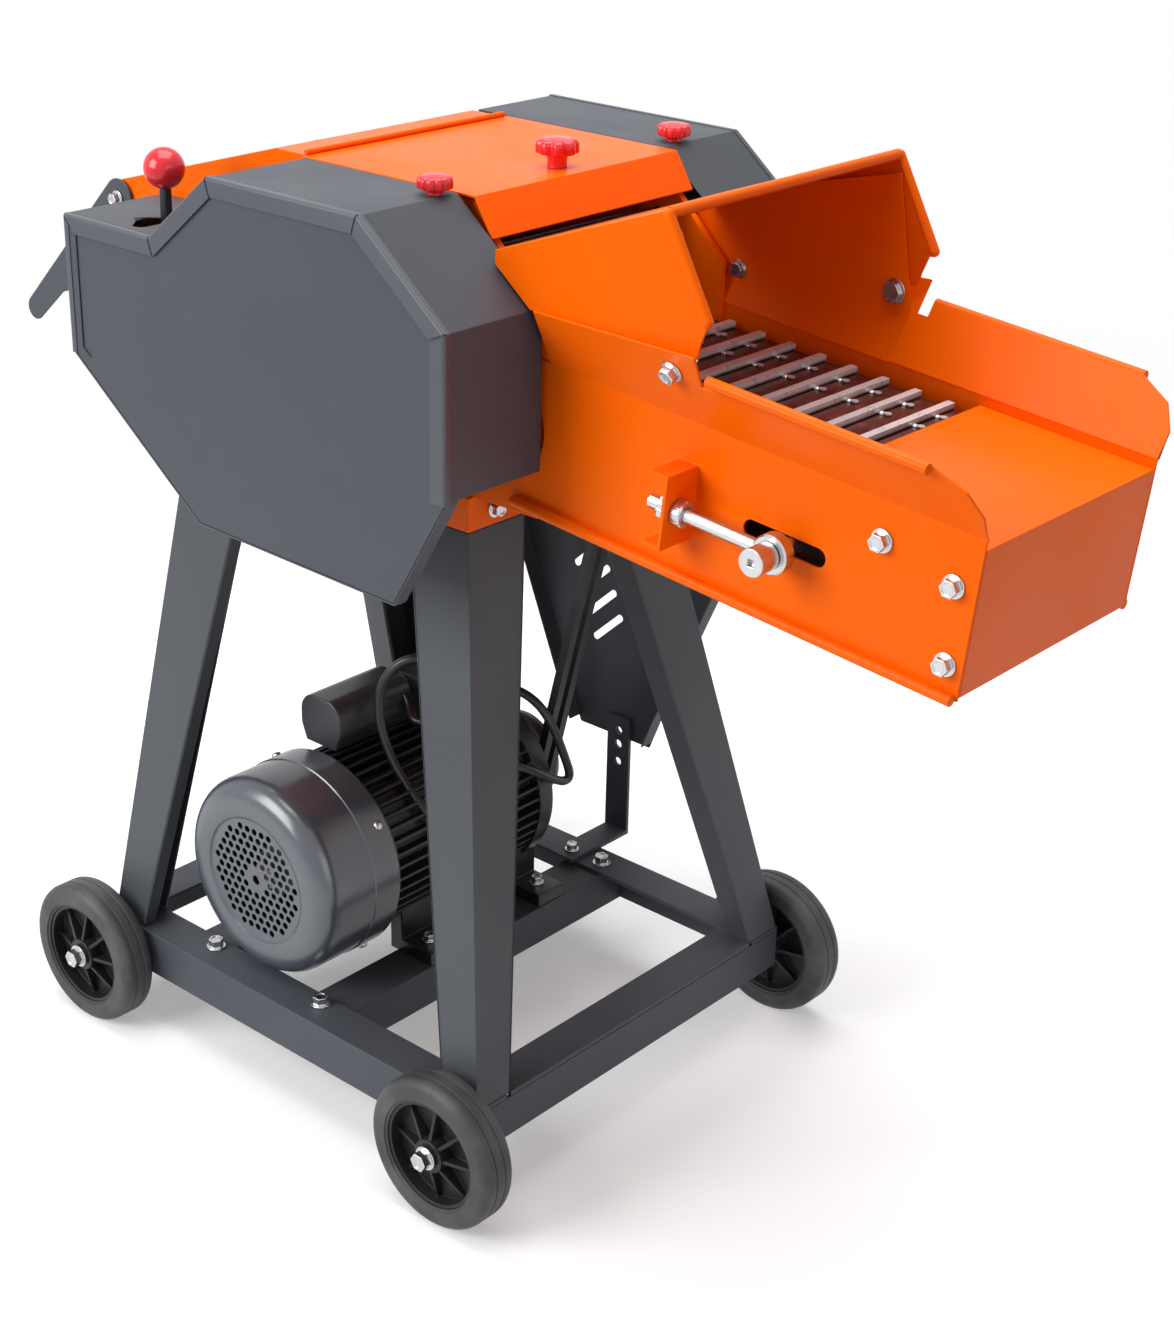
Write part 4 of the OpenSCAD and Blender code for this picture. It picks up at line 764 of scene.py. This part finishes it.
def lip_section(width):
    """A lip's cross-section as (inward, outward, is_lip): its face, its round fold, its back edge."""
    centre_in, centre_out = LIP_FOLD_R - LIP_PROUD, LIP_FACE - LIP_FOLD_R
    section = [(width, LIP_FACE - LIP_SHEET, True), (width, LIP_FACE, True)]
    for k in range(FOLD_STEPS + 1):
        turn = math.radians(90 * k / FOLD_STEPS)
        inward = centre_in - LIP_FOLD_R * math.sin(turn)
        outward = centre_out + LIP_FOLD_R * math.cos(turn)
        section.append((inward, outward, k < FOLD_STEPS))
    section += [(-LIP_PROUD, -LIP_RUN_OUT, False), (LIP_SUNK, -LIP_RUN_OUT, False)]
    return section + [(LIP_SUNK, LIP_SUNK, False)]


def edge_directions(corners):
    """For each straight edge, its direction and the direction into the cover."""
    edges = []
    for (x0, z0), (x1, z1) in zip(corners, corners[1:]):
        length = math.hypot(x1 - x0, z1 - z0)
        along = ((x1 - x0) / length, (z1 - z0) / length)
        edges.append((along, (along[1], -along[0])))
    return edges


def mitre_directions(edges):
    """For each corner, the step along its mitre line that goes one millimetre in from both edges."""
    mitres = [edges[0][1]]
    for (_, first), (_, second) in zip(edges, edges[1:]):
        share = 1 + first[0] * second[0] + first[1] * second[1]
        mitres.append(((first[0] + second[0]) / share, (first[1] + second[1]) / share))
    return mitres + [edges[-1][1]]


def cover_lips(label, node, side, corners, widths):
    """Lips along the edges between corners, given in millimetres from the cover's upper front corner."""
    low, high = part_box(node)
    face_y = (high.y if side > 0 else low.y) - side * FACE_INSET * MM
    edges = edge_directions(corners)
    mitres = mitre_directions(edges)
    for k, ((along, _), width) in enumerate(zip(edges, widths)):
        work = bmesh.new()
        ends = []
        for corner, mitre, sign in ((corners[k], mitres[k], 1), (corners[k + 1], mitres[k + 1], -1)):
            end = []
            for inward, outward, is_lip in lip_section(width):
                back = sign * LIP_GAP if is_lip else 0
                x = corner[0] + inward * mitre[0] + back * along[0]
                z = corner[1] + inward * mitre[1] + back * along[1]
                end.append(work.verts.new((high.x + x * MM, face_y + side * outward * MM, high.z + z * MM)))
            ends.append(end)
        skin(work, ends[::-1])
        name = f"{label}_lip_{k}"
        piece = place_piece(name, finished_mesh(name, work), "frame", "grey_textured", finish="grey_fold")
        keep_edges(piece, degrees=25)
    return len(edges)


made_lips = cover_lips("left_cover", "left_cover_band", -1, LEFT_LIPS, [REAR_LIP_WIDTH] + [LIP_WIDTH] * 5)
made_lips += cover_lips("right_cover", "right_cover_band", 1, RIGHT_LIPS, [LIP_WIDTH] * 4)
print("cover lips:", made_lips)

# %% [markdown]
# The ledge of the left cover has a hand-cut opening for the shift lever: a slot that the lever swings
# along, with a bite out of its rear side. It is a thin plate of its own outline, so the opening is drawn
# round the lever's travel.

# %% Ledge plate
LEDGE_LENGTH, LEDGE_DEPTH, LEDGE_DROP, LEDGE_INSET = 99.0, 94.0, 55.0, 0.4
PLATE_MM, PLATE_SUNK, PLATE_EDGE = 0.8, 0.1, 0.15
LEVER_R, LEVER_CLEAR, LEVER_OVERRUN, LEVER_SWING = 4.5, 2.2, 2.0, 22
BITE_CORNERS = [(9, 6), (15, 15), (6, 21)]


def ledge_plate():
    """The plate with its opening. Gives back how far the lever swings along it, in millimetres."""
    low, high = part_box("left_cover_band")
    pivot = Vector(joints["lever_shift"]["pos_m"])
    ledge_z = high.z - LEDGE_DROP * MM
    swing = (ledge_z - pivot.z) / MM * math.tan(math.radians(LEVER_SWING))
    x, y = (pivot.x - low.x) / MM, (pivot.y - low.y) / MM
    front, wide = LIP_RUN_OUT + 1, LEVER_R + LEVER_CLEAR
    outline = [(LEDGE_INSET, front), (LEDGE_LENGTH, front)]
    outline += [(LEDGE_LENGTH, LEDGE_DEPTH), (LEDGE_INSET, LEDGE_DEPTH)]
    hole = arc_points((x, y + LEVER_OVERRUN), wide, 0, 180, 9)
    hole += [(x - wide - rearward, y - sideways) for rearward, sideways in BITE_CORNERS]
    hole += arc_points((x, y - swing), wide, 200, 360, 8)
    where = Matrix.Translation((low.x, low.y + FACE_INSET * MM, ledge_z - PLATE_SUNK * MM))
    stamped("ledge_plate", [outline, hole], PLATE_MM, "frame", "grey_textured", where, edge=PLATE_EDGE)
    return swing


lever_swing = ledge_plate()
print("lever swing at the ledge:", round(lever_swing, 1), "mm")

# %% [markdown]
# The red knobs are moulded in one piece: a domed cap with shallow finger lobes over a short neck, with a
# threaded stud below. A turned profile gives the cap, and each ring's radius dips between the lobes.

# %% Star knobs
KNOB_STEPS, KNOB_LIFT, LOBE_SHARPNESS = 120, 0.4, 2.2
STUD_R, STUD_MM, STUD_CHAMFER, TIP_R = 4.0, 14.0, (0.4, 0.6), 0.01
CAP_SHARES = [
    (1.0, 0.62, 1.0), (0.965, 0.80, 1.0), (0.88, 0.91, 1.0), (0.76, 0.96, 0.7), (0.6, 0.99, 0.3),
    (0.5, 1.0, 0.0), (0.3, 1.04, 0.0),
]
DOME_SHARE = 1.06


def knob_profile(radius, neck_mm, cap_mm):
    """The rings of a knob as (radius, height, share of the lobes' depth), from the stud to the dome."""
    narrower, shorter = STUD_CHAMFER
    profile = [(TIP_R, -STUD_MM, 0), (STUD_R - narrower, -STUD_MM, 0), (STUD_R, shorter - STUD_MM, 0)]
    profile += [(STUD_R, 0, 0), (0.46 * radius, 0, 0), (0.44 * radius, 0.4 * neck_mm, 0)]
    profile += [(0.5 * radius, neck_mm - 0.5, 0), (0.8 * radius, neck_mm, 1)]
    profile += [(0.96 * radius, neck_mm + 0.8, 1), (radius, neck_mm + 2.0, 1)]
    profile += [(wide * radius, neck_mm + high * cap_mm, lobed) for wide, high, lobed in CAP_SHARES]
    return profile + [(TIP_R, neck_mm + DOME_SHARE * cap_mm, 0)]


def star_knob(name, node, joint, diameter, lobes, dip, neck_mm, cap_mm):
    """A knob that replaces a node: dip is how deep the lobes are cut, as a share of the radius."""
    work = bmesh.new()
    rings = []
    for radius, height, lobed in knob_profile(diameter / 2, neck_mm, cap_mm):
        ring = []
        for k in range(KNOB_STEPS):
            angle = math.tau * k / KNOB_STEPS
            notch = (0.5 - 0.5 * math.cos(lobes * angle)) ** LOBE_SHARPNESS
            reach = radius * (1 - dip * lobed * notch)
            x, y = reach * math.cos(angle), reach * math.sin(angle)
            ring.append(work.verts.new((x * MM, y * MM, height * MM)))
        rings.append(ring)
    skin(work, rings)
    seat = Vector(joints[joint]["pos_m"]) + Vector((0, 0, KNOB_LIFT * MM))
    piece = place_piece(name, finished_mesh(name, work), joints[joint]["child"], "knob_red", at(seat))
    keep_edges(piece, degrees=40)
    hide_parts(node)


star_knob("lid_star_knob", "lid_knob", "lid_knob_turn",
    diameter=32, lobes=8, dip=0.17, neck_mm=9.5, cap_mm=11)
for _, label in SIDES:
    star_knob(f"{label}_star_knob", f"{label}_cover_knob", f"{label}_knob_turn",
        diameter=26, lobes=12, dip=0.09, neck_mm=3.5, cap_mm=9.5)
print("star knobs:", 1 + len(SIDES))

# %% [markdown]
# Behind the shroud's wings the feed throat narrows to the chamber, and a thin lining covers each side of
# it. Each lining is one sheet that rises from the tray wall's crease to a bend, stands further out towards
# the tray, and stays under the shroud's sloping roof. It covers the ends of the shroud's own bolts, so each
# lining has two bolts of its own.

# %% Throat lining
CHEEK_ACROSS, WING_ACROSS, CREASE_ACROSS = 110.2, 122.6, 103.6
CREASE_SQUARE, CREASE_SUNK, LINING_MM = 57.0, 1.0, 1.2
LINING_STATIONS = [(-10, CHEEK_ACROSS - 2, 68), (42, CHEEK_ACROSS, 73), (176, WING_ACROSS, 91)]
LINING_BOLTS = [(30, CHEEK_ACROSS - 1.1, 83, 5.2), (161, 120.5, 102, 7.0)]
BOLT_HEAD_MM, BOLT_LIFT, BOLT_EDGE = 4.5, 1.4, 0.6
ROOF_BACK, ROOF_RISE, ROOF_CLEAR = 38.5, 54.0 / 152.0, 3.6
WING_END_X, WING_END_DROP = 6.0, 12.0


def lining_sheet(side, label):
    """A bent sheet, drawn station by station along the tray and given its thickness by a modifier."""
    shroud_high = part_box("throat_shroud")[1]
    roof_z = shroud_high.z - ROOF_CLEAR * MM
    roof_x = shroud_high.x - ROOF_BACK * MM
    work = bmesh.new()
    rows = []
    for along, across, knee in LINING_STATIONS:
        crease = on_tray(along, side * CREASE_ACROSS, CREASE_SQUARE - CREASE_SUNK)
        bend = on_tray(along, side * across, knee)
        top = bend.copy()
        top.z = min(roof_z, roof_z - (roof_x - top.x) * ROOF_RISE)
        if top.x > roof_x:
            top.x, top.z = roof_x + WING_END_X * MM, roof_z - WING_END_DROP * MM
        rows.append([work.verts.new(point) for point in (crease, bend, top)])
    for first, second in zip(rows, rows[1:]):
        for p in range(len(first) - 1):
            work.faces.new((first[p], first[p + 1], second[p + 1], second[p]))
    name = f"throat_cheek_{label}"
    piece = place_piece(name, finished_mesh(name, work), "frame", "orange_enamel")
    solid = piece.modifiers.new("sheet", "SOLIDIFY")
    solid.thickness = LINING_MM * MM
    solid.offset = 0
    keep_edges(piece, degrees=50)


def lining_bolt(side, label, along, across, square, radius):
    """A bolt head on its washer, on the lining's inner face."""
    inwards = (0, -side, 0)
    seat = on_tray(along, side * across, square)
    washer = [(1.35 * radius, 0), (1.35 * radius, 1.2), (1.25 * radius, 1.6)]
    turned(f"cheek_washer_{label}", washer, "frame", "zinc_plate", at(seat, inwards), steps=32)
    stamped(f"cheek_bolt_{label}", [circle_points(radius, 6)], BOLT_HEAD_MM, "frame", "zinc_plate",
        at(seat + Vector((0, -side * BOLT_LIFT * MM, 0)), inwards), edge=BOLT_EDGE)


for side, label in SIDES:
    lining_sheet(side, label)
    for number, bolt in enumerate(LINING_BOLTS):
        lining_bolt(side, f"{label}_{number}", *bolt)
print("lining bolts on each side:", len(LINING_BOLTS))

# %% [markdown]
# A low dark lip stands behind the hood's rear edge and keeps chaff from blowing up. It is a strip of sheet
# that stays with the hood, clear of the flap as it swings.

# %% Hood lip
HOOD_LIP_FROM, HOOD_LIP_TO, HOOD_LIP_RISE, HOOD_LIP_STEP = -12.0, 106.0, 9.0, 3.0
NEAR_SLOPE, FAR_SLOPE = 14.0, 8.0
HOOD_LIP_MM, HOOD_LIP_EDGE = 1.5, 0.3
BEHIND_PIVOT, OVER_PIVOT = 4.5, 2.0


def hood_lip():
    """A strip that stands upright across the machine, measured from the flap's pivot."""
    outline = [(HOOD_LIP_FROM, 0), (HOOD_LIP_TO, 0), (HOOD_LIP_TO - FAR_SLOPE, HOOD_LIP_RISE)]
    outline += [(HOOD_LIP_FROM + NEAR_SLOPE, HOOD_LIP_RISE), (HOOD_LIP_FROM, HOOD_LIP_STEP)]
    across_machine = Matrix(((0, 0, 1, 0), (1, 0, 0, 0), (0, 1, 0, 0), (0, 0, 0, 1)))
    pivot = Vector(joints["flap_tilt"]["pos_m"])
    foot = pivot + Vector((-BEHIND_PIVOT * MM, 0, OVER_PIVOT * MM))
    stamped("hood_lip", [outline], HOOD_LIP_MM, "frame", "grey_textured",
        Matrix.Translation(foot) @ across_machine, edge=HOOD_LIP_EDGE)


hood_lip()
print("hood lip:", HOOD_LIP_TO - HOOD_LIP_FROM, "mm")

# %% [markdown]
# The studio's floor is plain and pale. It is brighter to the camera than to the light that bounces off it,
# so the background stays white while the machine's underside keeps its own shade.

# %% The floor
FLOOR_SIZE = 40
SHADOW_TO, WHITE_FROM = 0.9, 2.6
NEAR_COLOUR, FAR_COLOUR = (0.8, 0.8, 0.8, 1), (0.0, 0.0, 0.0, 1)
NEAR_GLOW, FLOOR_ROUGH = 0.30, 0.9


def seen_by_eye(tree):
    """1 where the camera sees a surface, also mirrored or through glass, and 0 for light that bounces."""
    path = add(tree, "LightPath").outputs
    mirrored = math_node(tree, "MAXIMUM", path["Is Glossy Ray"], path["Is Transmission Ray"])
    return math_node(tree, "MAXIMUM", path["Is Camera Ray"], mirrored)


def make_floor():
    mesh = bpy.data.meshes.new("floor")
    half = FLOOR_SIZE / 2
    corners = [(-half, -half, 0), (half, -half, 0), (half, half, 0), (-half, half, 0)]
    mesh.from_pydata(corners, [], [(0, 1, 2, 3)])
    floor = bpy.data.objects.new("floor", mesh)
    bpy.context.scene.collection.objects.link(floor)
    material, tree, output = new_material("floor")
    place = add(tree, "TexCoord").outputs["Object"]
    distance = add(tree, "VectorMath", {0: place}, operation="LENGTH").outputs["Value"]
    far = ramp(tree, distance, SHADOW_TO, WHITE_FROM)
    glow = math_node(tree, "MULTIPLY", ramp(tree, far, out_low=NEAR_GLOW), seen_by_eye(tree))
    shader = add(tree, "BsdfPrincipled", {
        "Base Color": mix_colour(tree, far, NEAR_COLOUR, FAR_COLOUR),
        "Roughness": FLOOR_ROUGH, "Specular IOR Level": 0.0,
        "Emission Color": (1, 1, 1, 1), "Emission Strength": glow,
    })
    tree.links.new(shader.outputs[0], output.inputs["Surface"])
    mesh.materials.append(material)


make_floor()
print("floor:", FLOOR_SIZE, "m wide")

# %% [markdown]
# Three large soft lamps light the machine. The key stands to the camera's left and is the strongest, the
# top lamp lights what faces up, and a weak fill on the right lights the tray's end. The world adds a little
# light from everywhere, and looks white where the camera or a shiny part sees it.

# %% Lamps and world
WORLD_LIGHT = 0.26
LAMPS = {
    "key": {"place": (-1.3, -3.0, 2.1), "target": (0.0, 0.0, 0.45), "size": 2.2, "watts": 116},
    "top": {"place": (-0.2, 0.2, 3.3), "target": (0.0, 0.0, 0.5), "size": 2.6, "watts": 92},
    "fill": {"place": (3.4, -0.9, 1.3), "target": (0.0, 0.0, 0.5), "size": 1.8, "watts": 14},
}


def lamp(name, place, target, size, watts):
    """A soft square lamp that looks at a point."""
    light = bpy.data.lights.new(name, "AREA")
    light.size = size
    light.energy = watts
    made = bpy.data.objects.new(name, light)
    bpy.context.scene.collection.objects.link(made)
    made.location = place
    made.rotation_euler = (Vector(target) - Vector(place)).to_track_quat("-Z", "Y").to_euler()


def make_world():
    world = bpy.data.worlds.new("studio")
    bpy.context.scene.world = world
    world.use_nodes = True
    tree = world.node_tree
    sky = tree.nodes["Background"]
    sky.inputs["Color"].default_value = (1, 1, 1, 1)
    tree.links.new(ramp(tree, seen_by_eye(tree), out_low=WORLD_LIGHT), sky.inputs["Strength"])


for name, values in LAMPS.items():
    lamp(name, **values)
make_world()
bpy.context.scene.view_settings.view_transform = "Standard"
print("lamps:", ", ".join(LAMPS))
